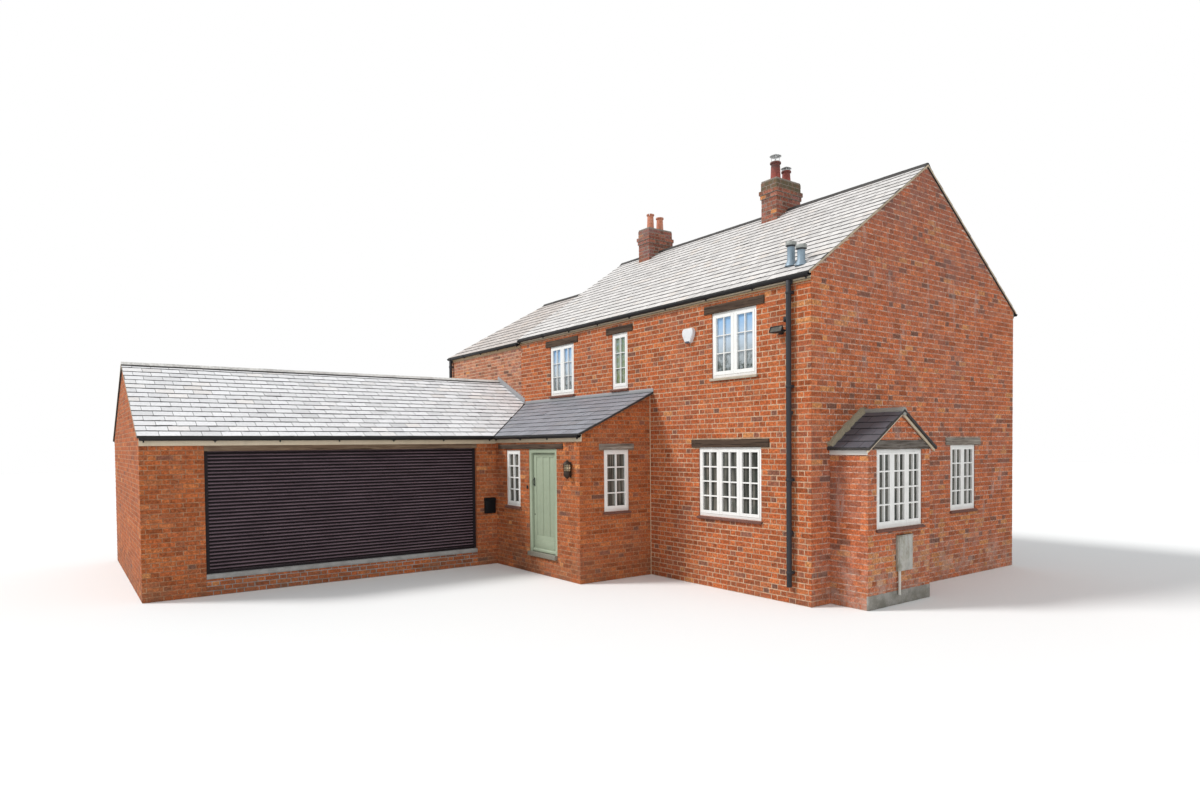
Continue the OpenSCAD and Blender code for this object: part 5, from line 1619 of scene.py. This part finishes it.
    def sills(self):
        """Red tile sills, and pale stone ones upstairs by the gable."""
        look = stone_look("sill_stone", (0.42, 0.36, 0.28), 0.3, 0.5)
        near = high("main_gable_wall").x - 2.6
        high_up = look.times(look.span(look.axis("Z"), UPSTAIRS, UPSTAIRS + 0.1),
                             look.span(look.axis("X"), near, near + 0.1))
        source = look.base()
        red = look.grained((0.155, 0.066, 0.048), look.noise(30, 5, 0.7), (0.3, 0.6), (0.7, 1.25))
        look.color(look.mix(high_up, red, source))
        dress("window_sills", "stone_sills", look.material, 0.009, 3)


class COTTAGE_OT_garage_door(Operator):
    """Hangs the garage's roller door between its guides, over its sill"""
    bl_idname = "cottage.garage_door"
    bl_label = "Hang garage door"

    def execute(self, context):
        joinery = settings("joinery")
        lo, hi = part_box("roller_door")
        look = self.slat_look(tuple(joinery.roller)).material
        rail, guide = 0.040, 0.060
        count = 34
        foot = lo.z + rail
        step = (hi.z - foot) / count
        face = Face.panel(EAST, lo, hi)
        u0, u1 = lo.y + guide - 0.004, hi.y - guide + 0.004
        plane = (lo.x + hi.x) / 2 + 0.004
        slats = []
        for k in range(count):
            z = foot + k * step
            slats.append([(plane, u, v) for u, v in ((u0, z), (u1, z), (u1, z + step), (u0, z + step))])
        tones = np.random.default_rng(81).uniform(0, 1, (count, 3))
        curtain = lay("roller_slats", [(self.slat(step), slats, face.along, UP, EAST, tones, (0, 0))])
        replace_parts(curtain, "roller_door")
        finish(curtain, look, smooth=50)
        parts = [soft_block("bar", (plane - 0.012, u0, lo.z), (plane + 0.014, u1, foot), 0.005)]
        for a, b in ((lo.y, lo.y + guide), (hi.y - guide, hi.y)):
            post = block("guide", (lo.x, a, lo.z), (hi.x, b, hi.z))
            inner = 1 if a == lo.y else -1
            sink(post, lambda f: f.normal.y * inner > 0.9, 0.014, (0, -inner * 0.03, 0))
            parts.append(round_off(post, 0.002, 1))
        parts.append(block("backing", (plane - 0.016, u0, lo.z), (plane - 0.012, u1, hi.z)))
        frame_piece = join("roller_guides", parts)
        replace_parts(frame_piece, "roller_door")
        finish(frame_piece, metal_look("guide_metal", (0.012, 0.008, 0.010), 0.45, 0.0, (0.05, 0.04, 0.04),
                                       0.2, 0.2).material,
               smooth=40)
        wood = timber_look("door_head_wood", (0.135, 0.085, 0.055), (0.26, 0.185, 0.12),
                           (1.0, 0.05, 1.0)).material
        coat("garage_beam", wood)
        a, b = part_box("garage_beam")
        board = beam("garage_head_board", (b.x, a.y, a.z), (b.x + 0.014, b.y, a.z + 0.10), edge=0.003)
        finish(roughen(board, 0.005, 0.11), wood, smooth=50)
        a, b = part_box("garage_threshold")
        cement = stone_look("garage_sill_cement", (0.36, 0.355, 0.345), 0.3, 0.2, 0.6).material
        coat("garage_threshold", cement)
        sill = beam("garage_sill", (a.x, a.y + 0.001, b.z - 0.075), (b.x + 0.012, b.y - 0.001, b.z + 0.001),
                    0.16, 0.008)
        finish(roughen(sill, 0.006, 0.2), cement, smooth=50)
        return {"FINISHED"}

    def slat(self, step):
        """One slat: a bowed face that hooks into the slat below it."""
        length = 1.0
        bow = primitive("cylinder", "slat", vertices=20, radius=0.5, depth=length, end_fill_type="NOTHING",
                        rotation=(0, math.pi / 2, 0), location=(length / 2, 0, 0))
        move(bow, (0, 0, step * 0.57), (1, 0.026, step * 0.86))
        with Edit(bow):
            bpy.ops.mesh.bisect(plane_co=(0, 0.0035, 0), plane_no=(0, 1, 0), clear_outer=True)
        hook = primitive("cylinder", "hook", vertices=8, radius=0.0042, depth=length, end_fill_type="NOTHING",
                         rotation=(0, math.pi / 2, 0), location=(length / 2, -0.001, step * 0.1))
        return Pattern(recalculate(join("slat", [bow, hook])), length, 10.0)

    def slat_look(self, color):
        look = Look("roller_enamel", color, roughness=0.42, Specular_IOR_Level=0.1)
        dust = look.noise(5, 6, 0.7, stretch=(1.0, 0.4, 2.0))
        # painted highlight on the upper part of each slat's bow, broken up by the dust noise
        painted_highlight = look.span(look.facing(UP), 0.12, 0.34)
        face = look.mix(look.times(painted_highlight, look.span(dust, 0.3, 0.7, 0.5, 1.0)), color,
                        [c * 14.0 + 0.08 for c in color])
        # painted shade on the faces that look down
        face = look.stain(face, look.facing(UP), 0.0, -0.2, 0.92, dim(color, 0.10))
        low_down = look.times(look.span(look.axis("Z"), 0.85, 0.35), look.span(dust, 0.4, 0.7))
        face = look.mix(look.times(low_down, 0.2), face, (0.06, 0.048, 0.044))
        look.color(face)
        look.rough(look.span(dust, 0.3, 0.7, 0.36, 0.5))
        return look


class COTTAGE_OT_front_door(Operator):
    """Makes the front door: frame and stone step, panelled leaf, pull and keyhole"""
    bl_idname = "cottage.front_door"
    bl_label = "Make front door"

    def execute(self, context):
        joinery = settings("joinery")
        sage = tuple(joinery.sage)
        paint = paint_look("sage_paint", sage, dirt=0.3, worn=0.2).material
        lo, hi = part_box("front_door")
        frame_look = paint_look("sage_frame", sage, dirt=0.3, worn=0.25)
        threshold = lo.z - 0.004
        stone = frame_look.grained((0.21, 0.195, 0.155), frame_look.noise(60, 6, 0.7), (0.3, 0.55),
                                   (0.7, 1.3))
        source = frame_look.base()
        frame_look.color(frame_look.mix(frame_look.span(frame_look.axis("Z"), threshold - 0.001,
                                                        threshold + 0.001),
                                        stone, source))
        dress("door_frame", "door_surround", frame_look.material, 0.005, 2)

        width = hi.x - lo.x
        recess, stile, muntin = 0.011, 0.098, 0.082
        top_rail, foot_rail, kick, weather = 0.075, 0.088, 0.16, 0.060
        base = block("leaf_base", (lo.x, lo.y + recess, lo.z), (hi.x, hi.y, hi.z))
        parts = [round_off(base, 0.002, 1)]
        foot = lo.z + weather
        panel_foot, panel_top = foot + kick + foot_rail, hi.z - top_rail
        panel = (width - 2 * stile - 2 * muntin) / 3
        uprights = [(lo.x, lo.x + stile), (hi.x - stile, hi.x)]
        for k in (1, 2):
            start = lo.x + stile + k * panel + (k - 1) * muntin
            uprights.append((start, start + muntin))
        for k, (a, b) in enumerate(uprights):
            top = hi.z if k < 2 else panel_top
            bottom = foot if k < 2 else panel_foot
            parts.append(self.board((a, lo.y, bottom), (b, lo.y + recess, top)))
        left, right = lo.x + stile, hi.x - stile
        parts.append(self.board((left, lo.y, panel_top), (right, lo.y + recess, hi.z)))
        parts.append(self.board((left, lo.y, foot), (right, lo.y + recess, panel_foot)))
        parts.append(self.board((left - 0.01, lo.y - 0.004, foot + 0.006),
                                (right + 0.01, lo.y + 0.002, foot + kick)))
        drip = block("weatherboard", (lo.x + 0.004, lo.y - 0.030, lo.z + 0.004),
                     (hi.x - 0.004, lo.y + recess, foot + 0.004))
        bevel(drip, 0.028, lambda a, b: a.y < lo.y and b.y < lo.y and min(a.z, b.z) > foot, 4, profile=0.35)
        parts.append(round_off(drip, 0.002, 1))
        groove = 0.004
        for k in range(3):
            a = lo.x + stile + k * (panel + muntin)
            parts.append(self.board((a + groove, lo.y + recess - 0.003, panel_foot + groove),
                                    (a + panel - groove, lo.y + recess + 0.002, panel_top - groove)))
        piece = join("front_door_leaf", parts)
        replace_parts(piece, "front_door")
        finish(piece, paint, body="door_leaf", smooth=35)

        black = metal_look("black_iron", (0.015, 0.015, 0.015), 0.42, 0.0, (0.07, 0.065, 0.06), 0.2,
                           0.3).material
        a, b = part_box("door_handle")
        x, z = (a.x + b.x) / 2, (a.z + b.z) / 2
        plate = soft_block("pull_plate", (x - 0.015, lo.y - 0.004, z - 0.085), (x + 0.015, lo.y, z + 0.085),
                           0.003)
        grip = primitive("torus", "pull_grip", major_radius=0.052, minor_radius=0.0065, major_segments=28,
                         minor_segments=10, rotation=(0, math.pi / 2, 0))
        with Edit(grip):
            bpy.ops.mesh.bisect(plane_co=(0, 0, 0), plane_no=(0, 1, 0), clear_outer=True, use_fill=True)
        move(grip, (x, lo.y - 0.003, z), (1, 0.72, 1.15))
        pull = join("door_pull", [plate, recalculate(grip)])
        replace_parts(pull, "door_handle")
        finish(pull, black, body="door_leaf", smooth=45)
        rings = [(0.015, 0), (0.015, 0.002), (0.012, 0.0035), (0.005, 0.0036), (0.004, 0.001)]
        keyhole = stud("keyhole_plate", rings, "X", (x, lo.y, 1.114), 20)
        finish(keyhole, black, body="door_leaf", smooth=45)
        wall = low("porch_wall_left").y
        bell = soft_block("bell_push", (lo.x - 0.155, wall - 0.022, 1.60),
                          (lo.x - 0.118, wall - 0.002, 1.665), 0.005)
        button = stud("bell_button", [(0.009, 0), (0.009, 0.003), (0.006, 0.006)], "X",
                      (lo.x - 0.1365, wall - 0.022, 1.632))
        finish(join("bell_push", [bell, button]), black, smooth=45)
        steel = metal_look("hinge_steel", (0.30, 0.31, 0.31), 0.38, 1.0, amount=0.2).material
        dress("door_hinges", "hinge_knuckles", steel, 0.0006, 1)
        return {"FINISHED"}

    def board(self, a, b):
        """A planed board with its front arrises moulded."""
        piece = block("board", a, b)
        front = min(a[1], b[1])
        bevel(piece, 0.003, lambda p, q: p.y < front + 0.001 and q.y < front + 0.001, 2)
        return piece


class COTTAGE_OT_fittings(Operator):
    """Makes the lantern, floodlight, alarm box, post box, meter box and airbrick"""
    bl_idname = "cottage.fittings"
    bl_label = "Make fittings"

    def execute(self, context):
        self.lantern()
        self.floodlight()
        self.alarm_box()
        self.post_box()
        self.meter_box()
        self.airbrick()
        return {"FINISHED"}

    def airbrick(self):
        """A vent brick with two sunk slots painted near-black as shade, over the lantern."""
        x, y, z = high("porch_side_wall").x - AIRBRICK[0], low("porch_wall_left").y, AIRBRICK[1]
        vent = block("airbrick", (x - 0.080, y - 0.005, z - 0.031), (x + 0.080, y + 0.004, z + 0.031))
        subdivide(vent, 4, lambda p, q: abs(p.x - q.x) > 0.1)
        sink(vent, lambda f: f.normal.y < -0.9 and 0.025 < abs(f.center.x - x) < 0.04, 0.006, (0, 0.0035, 0),
             use_individual=True)
        look = stone_look("vent_clay", (0.33, 0.105, 0.045), 0.4)
        clay = look.base()
        # painted shade: the sunk slots are near-black
        look.color(look.mix(look.span(look.axis("Y"), y - 0.003, y - 0.0025), clay, (0.018, 0.012, 0.010)))
        finish(vent, look.material)

    def lantern(self):
        """A half-round wall lantern: bowl, ribbed glass, domed cap and finial."""
        a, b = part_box("door_lantern")
        x, wall, foot = (a.x + b.x) / 2, b.y, a.z
        deep, tall = b.y - a.y, b.z - a.z
        r, y = (b.x - a.x) / 2, b.y - deep * 0.44
        cage = r * 0.76
        bronze = metal_look("lantern_bronze", (0.040, 0.027, 0.020), 0.42, 0.45, (0.12, 0.08, 0.055), 0.3,
                            0.3).material
        bowl = [(0.006, 0), (0.010, 0.008), (0.008, 0.018), (0.020, 0.024), (r * 0.55, 0.045),
                (r * 0.80, 0.075), (r * 0.84, 0.105), (r * 0.74, 0.135), (r * 0.82, 0.142), (r * 0.82, 0.150)]
        cap = [(r * 0.86, 0.262), (r * 0.98, 0.266), (r * 0.98, 0.274), (r * 0.80, 0.292), (r * 0.50, 0.316),
               (r * 0.22, 0.330), (0.008, 0.334), (0.012, 0.342), (0.006, tall)]
        parts = []
        for name, profile in (("bowl", bowl), ("cap", cap)):
            parts.append(lathe(name, profile, (x, y, foot), 28))
        for k in range(7):
            angle = math.pi * (k + 0.5) / 7
            rod = block("rib", (-0.0035, -0.0035, 0.146), (0.0035, 0.0035, 0.266))
            parts.append(move(rod, (x + math.cos(angle) * cage, y - math.sin(angle) * cage, foot)))
        for z in (0.178, 0.236):
            parts.append(primitive("torus", "ring", major_radius=cage, minor_radius=0.0035, major_segments=32,
                                   minor_segments=6, location=(x, y, foot + z)))
        back = block("back", (x - 0.030, wall - 0.012, foot + 0.04), (x + 0.030, wall, foot + 0.31))
        arm = block("arm", (x - 0.010, y, foot + 0.268), (x + 0.010, wall - 0.006, foot + 0.286))
        parts += [round_off(back, 0.003, 2), round_off(arm, 0.003, 1)]
        piece = join("wall_lantern", parts)
        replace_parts(piece, "door_lantern")
        finish(piece, bronze, smooth=40)
        glass = Look("lantern_glass", (0.35, 0.28, 0.20), roughness=0.3, Specular_IOR_Level=0.3)
        glass.color(glass.ramp(glass.noise(18, 4), [(0.3, (0.30, 0.20, 0.11)), (0.5, (0.58, 0.46, 0.29)),
                                                    (0.7, (0.78, 0.70, 0.52))]))
        pane = lathe("lantern_pane", [(r * 0.72, 0.146), (r * 0.72, 0.266)], (x, y, foot), 28)
        with Edit(pane, "FACE", lambda f: abs(f.normal.z) > 0.9):
            bpy.ops.mesh.inset(thickness=0.004)
        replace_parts(pane, "door_lantern")
        finish(pane, glass.material, smooth=40)

    def floodlight(self):
        """A floodlight that leans out from the wall, its hood and arms, and the sensor above it."""
        boxes = solids("floodlight")
        a, b = max(boxes, key=lambda s: s[1].x - s[0].x)
        c, d = min(boxes, key=lambda s: s[1].x - s[0].x)
        x_mid, z_mid = (a.x + b.x) / 2, (a.z + b.z) / 2
        lean, hub = math.radians(-24), (x_mid, a.y + 0.045, z_mid)
        shell = metal_look("floodlight_shell", (0.020, 0.020, 0.021), 0.42, 0.0, (0.08, 0.07, 0.055), 0.25,
                           0.25).material
        head = block("head", (a.x, a.y, a.z + 0.026), (b.x, a.y + 0.078, b.z))
        sink(head, lambda f: f.normal.y < -0.9, 0.010, (0, 0.014, 0))
        with Edit(head, "FACE", lambda f: f.normal.y > 0.9):
            bpy.ops.transform.resize(value=(0.72, 1, 0.6))
        round_off(head, 0.004, 2)
        turn(head, lean, "X", hub)
        fins = []
        for k in range(9):
            x = a.x + 0.045 + k * (b.x - a.x - 0.09) / 8
            fin = block("fin", (x - 0.002, a.y + 0.055, a.z + 0.052), (x + 0.002, a.y + 0.092, b.z - 0.016))
            fins.append(turn(fin, lean, "X", hub))
        arms = []
        for x in (a.x + 0.002, b.x - 0.002):
            arm = block("arm", (x - 0.002, a.y + 0.035, z_mid - 0.012),
                        (x + 0.002, a.y + 0.125, z_mid + 0.012))
            arms.append(round_off(arm, 0.001, 1))
        bar = block("bar", (a.x + 0.001, a.y + 0.119, z_mid - 0.012),
                    (b.x - 0.001, a.y + 0.125, z_mid + 0.012))
        foot = block("foot", (x_mid - 0.032, a.y + 0.105, a.z + 0.02), (x_mid + 0.032, b.y, a.z + 0.10))
        eye = soft_block("eye", (c.x + 0.006, c.y + 0.014, c.z), (d.x - 0.006, d.y, d.z), 0.010, 4)
        ball = primitive("uv_sphere", "lens", segments=20, ring_count=12, radius=0.024,
                         location=((c.x + d.x) / 2, c.y + 0.020, c.z + 0.018))
        piece = join("floodlight_body", [head, *fins, *arms, bar, round_off(foot, 0.005, 2), eye, ball])
        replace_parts(piece, "floodlight")
        finish(piece, shell, smooth=40)
        pane = block("floodlight_pane", (a.x + 0.013, a.y + 0.011, a.z + 0.038),
                     (b.x - 0.013, a.y + 0.015, b.z - 0.012))
        turn(pane, lean, "X", hub)
        glass = Look("floodlight_glass", (0.55, 0.57, 0.58), roughness=0.18)
        # dark glass with patches of painted highlight
        glass.color(glass.ramp(glass.noise(14, 4),
                               [(0.35, (0.020, 0.018, 0.015)), (0.6, (0.085, 0.072, 0.048)),
                                (0.75, (0.30, 0.26, 0.19))]))
        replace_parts(pane, "floodlight")
        finish(pane, glass.material)

    def alarm_box(self):
        a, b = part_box("alarm_box")
        middle = (a.x + b.x) / 2
        white = paint_look("alarm_casing", (0.66, 0.66, 0.67), dirt=0.25)
        case = block("case", (a.x, a.y, a.z), (b.x, b.y, b.z))
        subdivide(case, 1, lambda p, q: abs(p.z - q.z) > 0.5 * (b.z - a.z))
        waist = a.z + 0.62 * (b.z - a.z)
        with Edit(case, "VERT", lambda p: abs(p.z - (a.z + b.z) / 2) < 0.01):
            bpy.ops.transform.translate(value=(0, 0, waist - (a.z + b.z) / 2))
        with Edit(case, "VERT", lambda p: p.z < a.z + 0.01):
            bpy.ops.transform.resize(value=(0.42, 1, 1), center_override=(middle, b.y, a.z))
        with Edit(case, "VERT", lambda p: p.z > b.z - 0.01):
            bpy.ops.transform.resize(value=(0.86, 1, 1), center_override=(middle, b.y, b.z))
        with Edit(case):
            bpy.ops.mesh.dissolve_limited(angle_limit=math.radians(1))
        bevel(case, 0.034, lambda p, q: abs(p.y - q.y) > 0.5 * (b.y - a.y), 6)
        bevel(case, 0.018, lambda p, q: p.y < a.y + 0.001 and q.y < a.y + 0.001, 4)
        groove = block("groove", (a.x + 0.004, a.y + 0.046, waist - 0.004), (b.x - 0.004, b.y, waist - 0.002))
        piece = join("alarm_casing", [case, groove])
        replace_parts(piece, "alarm_box")
        finish(piece, white.material, smooth=45)
        lens = soft_block("alarm_lens", (middle - 0.050, a.y - 0.001, a.z - 0.001),
                          (middle + 0.050, a.y + 0.045, a.z + 0.036), 0.008, 3)
        dark = metal_look("alarm_lens", (0.035, 0.045, 0.075), 0.25, 0.0, amount=0.2).material
        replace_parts(lens, "alarm_box")
        finish(lens, dark, smooth=45)

    def post_box(self):
        """A black wall box with a sloping lid over its slot."""
        a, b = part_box("post_box")
        black = metal_look("post_box_black", (0.006, 0.006, 0.007), 0.36, 0.0, (0.03, 0.027, 0.024), 0.15,
                           0.12).material
        body = soft_block("body", (a.x, a.y + 0.004, a.z), (b.x - 0.008, b.y - 0.004, b.z - 0.012), 0.004)
        lid = block("lid", (a.x, a.y, b.z - 0.060), (b.x, b.y, b.z))
        bevel(lid, 0.040, lambda p, q: min(p.x, q.x) > b.x - 0.001 and min(p.z, q.z) > b.z - 0.001, 4,
              profile=0.4)
        round_off(lid, 0.002, 1)
        panel = soft_block("panel", (b.x - 0.009, a.y + 0.022, a.z + 0.020),
                           (b.x - 0.004, b.y - 0.022, b.z - 0.082), 0.003)
        lock = stud("lock", [(0.009, 0), (0.009, 0.003), (0.006, 0.004)], "Y",
                    (b.x - 0.005, (a.y + b.y) / 2, a.z + 0.20))
        piece = join("wall_post_box", [body, lid, panel, lock])
        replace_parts(piece, "post_box")
        finish(piece, black, smooth=40)

    def meter_box(self):
        """A weathered cabinet with a framed door, over a pale pipe."""
        pipe, (a, b) = sorted(solids("meter_box"), key=lambda s: s[0].z)
        case = soft_block("case", (a.x, a.y, a.z), (b.x - 0.010, b.y, b.z), 0.006)
        door = block("door", (b.x - 0.012, a.y + 0.018, a.z + 0.018), (b.x - 0.004, b.y - 0.018, b.z - 0.018))
        sink(door, lambda f: f.normal.x > 0.9, 0.030, (0.004, 0, 0))
        round_off(door, 0.002, 2)
        hood = block("hood", (a.x, a.y - 0.004, b.z - 0.010), (b.x, b.y + 0.004, b.z))
        latch = stud("latch", [(0.011, 0), (0.011, 0.004), (0.008, 0.006)], "Y",
                     (b.x - 0.005, b.y - 0.034, (a.z + b.z) / 2))
        hinges = [soft_block("hinge", (b.x - 0.008, a.y + 0.012, z - 0.025),
                             (b.x - 0.001, a.y + 0.024, z + 0.025), 0.002, 1)
                  for z in (a.z + 0.10, b.z - 0.10)]
        look = paint_look("meter_casing", (0.44, 0.43, 0.39), dirt=0.95, worn=0.9, under=(0.20, 0.17, 0.12))
        casing = look.base()
        algae = look.span(look.noise(5, 6, 0.7, stretch=(1.0, 1.0, 0.45)), 0.46, 0.62, 0, 0.8)
        casing = look.mix(algae, casing, (0.175, 0.16, 0.095))
        rust = look.span(look.noise(11, 6, 0.75, stretch=(1.0, 1.0, 0.3)), 0.60, 0.70, 0, 0.7)
        look.color(look.mix(rust, casing, (0.19, 0.105, 0.055)))
        piece = join("meter_cabinet", [case, door, round_off(hood, 0.002, 1), latch, *hinges])
        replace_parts(piece, "meter_box")
        finish(piece, look.material, smooth=40)
        a, b = pipe
        x, y, z = (a.x + b.x) / 2, (a.y + b.y) / 2, (a.z + b.z) / 2
        r = (b.x - a.x) / 2
        slim = r * 0.94
        tube = lathe("tube", [(slim, a.z), (slim, b.z + 0.004)], (x, y, 0), 20)
        clip = lathe("clip", [(slim, 0), (r, 0.001), (r, 0.019), (slim, 0.020)], (x, y, z), 20)
        lug = block("lug", (a.x - 0.018, y - 0.012, z), (x, y + 0.012, z + 0.02))
        pale = paint_look("meter_pipe", (0.58, 0.56, 0.50), dirt=0.6)
        piece = join("meter_tube", [tube, clip, lug])
        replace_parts(piece, "meter_box")
        finish(piece, pale.material, smooth=45)


class COTTAGE_OT_bay(Operator):
    """Points the bay's roof against the gable and along its ridge"""
    bl_idname = "cottage.bay"
    bl_label = "Point bay roof"

    def execute(self, context):
        mortar = stone_look("bay_mortar", (0.30, 0.255, 0.175), 0.75, 1.0).material
        gable = high("main_gable_wall").x
        slopes = [Face(["bay_roof"], UP + side) for side in (FRONT, BACK)]
        lo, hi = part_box("bay_roof")
        ridge_y = (lo.y + hi.y) / 2
        parts = []
        for face, y_foot in zip(slopes, (lo.y + 0.02, hi.y - 0.02)):
            foot = Vector((gable, y_foot, face.height_at(gable, y_foot)))
            top = Vector((gable, ridge_y, face.height_at(gable, ridge_y)))
            length = (top - foot).length
            fillet = primitive("cylinder", "fillet", vertices=24, radius=0.10, depth=length,
                               rotation=(0, math.pi / 2, 0))
            subdivide(fillet, int(length / 0.05), lambda p, q: abs(q.x - p.x) > 0.5 * length)
            direction = (top - foot).normalized()
            side = EAST
            out = direction.cross(side) if direction.cross(side).z > 0 else side.cross(direction)
            place = Matrix((direction, side, direction.cross(side))).transposed().to_4x4()
            place.translation = (foot + top) / 2 + out * -0.030
            fillet.matrix_world = place
            apply_place(fillet)
            with Edit(fillet):
                bpy.ops.mesh.bisect(plane_co=(gable - 0.010, 0, 0), plane_no=(-1, 0, 0), clear_outer=True,
                                    use_fill=True)
            parts.append(fillet)
        bed = roughen(roughen(recalculate(join("bay_fillet", parts)), 0.050, 0.09), 0.030, 0.028)
        finish(bed, mortar, smooth=60)
        grey = stone_look("bay_ridge_mortar", (0.30, 0.29, 0.26), 0.35, 0.6).material
        apex = slopes[0].height_at(hi.x, ridge_y)
        ridge = primitive("cylinder", "bay_ridge", vertices=28, radius=0.062, depth=hi.x - gable - 0.004,
                          rotation=(0, math.pi / 2, 0), location=((gable + hi.x) / 2, ridge_y, apex - 0.028))
        subdivide(ridge, 14, lambda p, q: abs(q.x - p.x) > 0.3)
        finish(roughen(ridge, 0.018, 0.06), grey, smooth=60)
        a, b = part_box("bay_walls")
        plinth = beam("bay_plinth", (b.x - 0.02, a.y - 0.006, 0.001), (b.x + 0.012, b.y + 0.006, 0.21), 0.07,
                      0.012)
        damp = stone_look("plinth_cement", (0.33, 0.315, 0.285), 0.4, 0.8, 0.6).material
        finish(roughen(plinth, 0.014, 0.12), damp, smooth=50)
        return {"FINISHED"}


class COTTAGE_OT_floors(Operator):
    """Boards and screeds the floors"""
    bl_idname = "cottage.floors"
    bl_label = "Finish floors"

    def execute(self, context):
        screed = Look("floor_screed", (0.36, 0.345, 0.32), roughness=0.9)
        grain = screed.noise(7, 6, 0.6)
        screed.color(screed.ramp(grain, [(0.3, (0.28, 0.265, 0.245)), (0.7, (0.42, 0.405, 0.375))]))
        coat("ground_floors", screed.material)
        boards = Look("floor_boards", (0.30, 0.19, 0.11), roughness=0.6)
        wood = boards.noise(12, 6, 0.65, stretch=(0.08, 1.0, 1.0))
        shade = boards.ramp(wood, [(0.3, (0.19, 0.11, 0.06)), (0.7, (0.36, 0.235, 0.135))])
        seam = boards.math("FRACT", boards.math("DIVIDE", boards.axis("Y"), 0.145))
        shade = boards.mix(boards.span(seam, 0.03, 0.0), shade, (0.04, 0.025, 0.015))
        under = boards.span(boards.facing(UP), -0.5, -0.8)
        boards.color(boards.mix(under, shade, (0.60, 0.58, 0.54)))
        coat("upper_floors", boards.material)
        return {"FINISHED"}


class COTTAGE_OT_stage(Operator):
    """Sets up the floor, the light and the camera at the photograph's viewing angle"""
    bl_idname = "cottage.stage"
    bl_label = "Set stage"

    def execute(self, context):
        scene = context.scene
        clear_selection()
        floor = primitive("plane", "floor", size=160, location=(0, 0, -0.002))
        floor.data.materials.append(Look("floor_paper", (0.86, 0.855, 0.84), 0.9).material)
        world = bpy.data.worlds.new("studio")
        scene.world = world
        world.use_nodes = True
        tree = world.node_tree
        new, link = tree.nodes.new, tree.links.new
        sky, paper = tree.nodes["Background"], new("ShaderNodeBackground")
        for background, color, strength in ((sky, (0.92, 0.96, 1.0, 1), 0.62), (paper, (1, 1, 1, 1), 1.0)):
            background.inputs["Color"].default_value = color
            background.inputs["Strength"].default_value = strength
        # the camera, gloss and glass see white paper; all else is lit by the sky
        rays, choose = new("ShaderNodeLightPath"), new("ShaderNodeMixShader")
        seen = rays.outputs["Is Camera Ray"]
        for kind in ("Is Glossy Ray", "Is Transmission Ray"):
            most = new("ShaderNodeMath")
            most.operation = "MAXIMUM"
            link(seen, most.inputs[0])
            link(rays.outputs[kind], most.inputs[1])
            seen = most.outputs[0]
        for n, socket in enumerate((seen, sky.outputs[0], paper.outputs[0])):
            link(socket, choose.inputs[n])
        link(choose.outputs[0], tree.nodes["World Output"].inputs["Surface"])
        for name, energy, angle, towards in (("key", 2.6, 14, (0.42, 0.62, -0.66)),
                                             ("fill", 0.6, 50, (-0.85, 0.3, -0.42))):
            data = bpy.data.lights.new(name, "SUN")
            data.energy, data.angle = energy, math.radians(angle)
            light = bpy.data.objects.new(name, data)
            light.rotation_euler = Vector(towards).to_track_quat("-Z", "Y").to_euler()
            light.location = (-Vector(towards)) * 30
            scene.collection.objects.link(light)
        data = bpy.data.cameras.new("photo_camera")
        camera = bpy.data.objects.new("photo_camera", data)
        scene.collection.objects.link(camera)
        front, gable = low("main_front_wall").y, high("main_gable_wall").x
        right_of_gable, before_front, eye_height = 6.9929, 8.9583, 2.4281
        camera.location = (gable + right_of_gable, front - before_front, eye_height)
        yaw, pitch, roll = 2.5100, -0.0249, -0.0091
        ahead = Vector((math.cos(yaw) * math.cos(pitch), math.sin(yaw) * math.cos(pitch), math.sin(pitch)))
        right = Vector((math.sin(yaw), -math.cos(yaw), 0))
        top = right.cross(ahead)
        right, top = (right * math.cos(roll) + top * math.sin(roll),
                      top * math.cos(roll) - right * math.sin(roll))
        camera.rotation_euler = Matrix((right, top, -ahead)).transposed().to_euler()
        focal, principal_v, width, height = 744.79, 463.52, 1200, 800
        data.sensor_fit = "HORIZONTAL"
        data.sensor_width = 36
        data.lens = focal * data.sensor_width / width
        data.shift_y = (principal_v - height / 2) / width
        data.clip_end = 300
        scene.camera = camera
        scene.view_settings.view_transform = "Standard"
        return {"FINISHED"}


class COTTAGE_PT_panel(Panel):
    bl_idname = "COTTAGE_PT_panel"
    bl_label = "Cottage"
    bl_space_type = "VIEW_3D"
    bl_region_type = "UI"
    bl_category = "Cottage"

    def draw(self, context):
        for operator in OPERATORS:
            self.layout.operator(operator.bl_idname)
        for group in ("bricks", "roofs", "joinery"):
            box = self.layout.box()
            for name in settings(group).__annotations__:
                box.prop(settings(group), name)


GROUPS = {"bricks": CottageBricks, "roofs": CottageRoofs, "joinery": CottageJoinery}
OPERATORS = (COTTAGE_OT_walls, COTTAGE_OT_brickwork, COTTAGE_OT_chimneys, COTTAGE_OT_roofs, COTTAGE_OT_eaves,
             COTTAGE_OT_windows, COTTAGE_OT_garage_door, COTTAGE_OT_front_door, COTTAGE_OT_fittings,
             COTTAGE_OT_bay, COTTAGE_OT_floors, COTTAGE_OT_stage)


def register():
    for cls in (*GROUPS.values(), *OPERATORS, COTTAGE_PT_panel):
        bpy.utils.register_class(cls)
    for name, cls in GROUPS.items():
        setattr(bpy.types.Scene, "cottage_" + name, PointerProperty(type=cls))


def unregister():
    for name in GROUPS:
        delattr(bpy.types.Scene, "cottage_" + name)
    for cls in (COTTAGE_PT_panel, *reversed(OPERATORS), *reversed(GROUPS.values())):
        bpy.utils.unregister_class(cls)


def main():
    register()
    for operator in OPERATORS:
        group, name = operator.bl_idname.split(".")
        getattr(getattr(bpy.ops, group), name)()


if __name__ == "__main__":
    main()
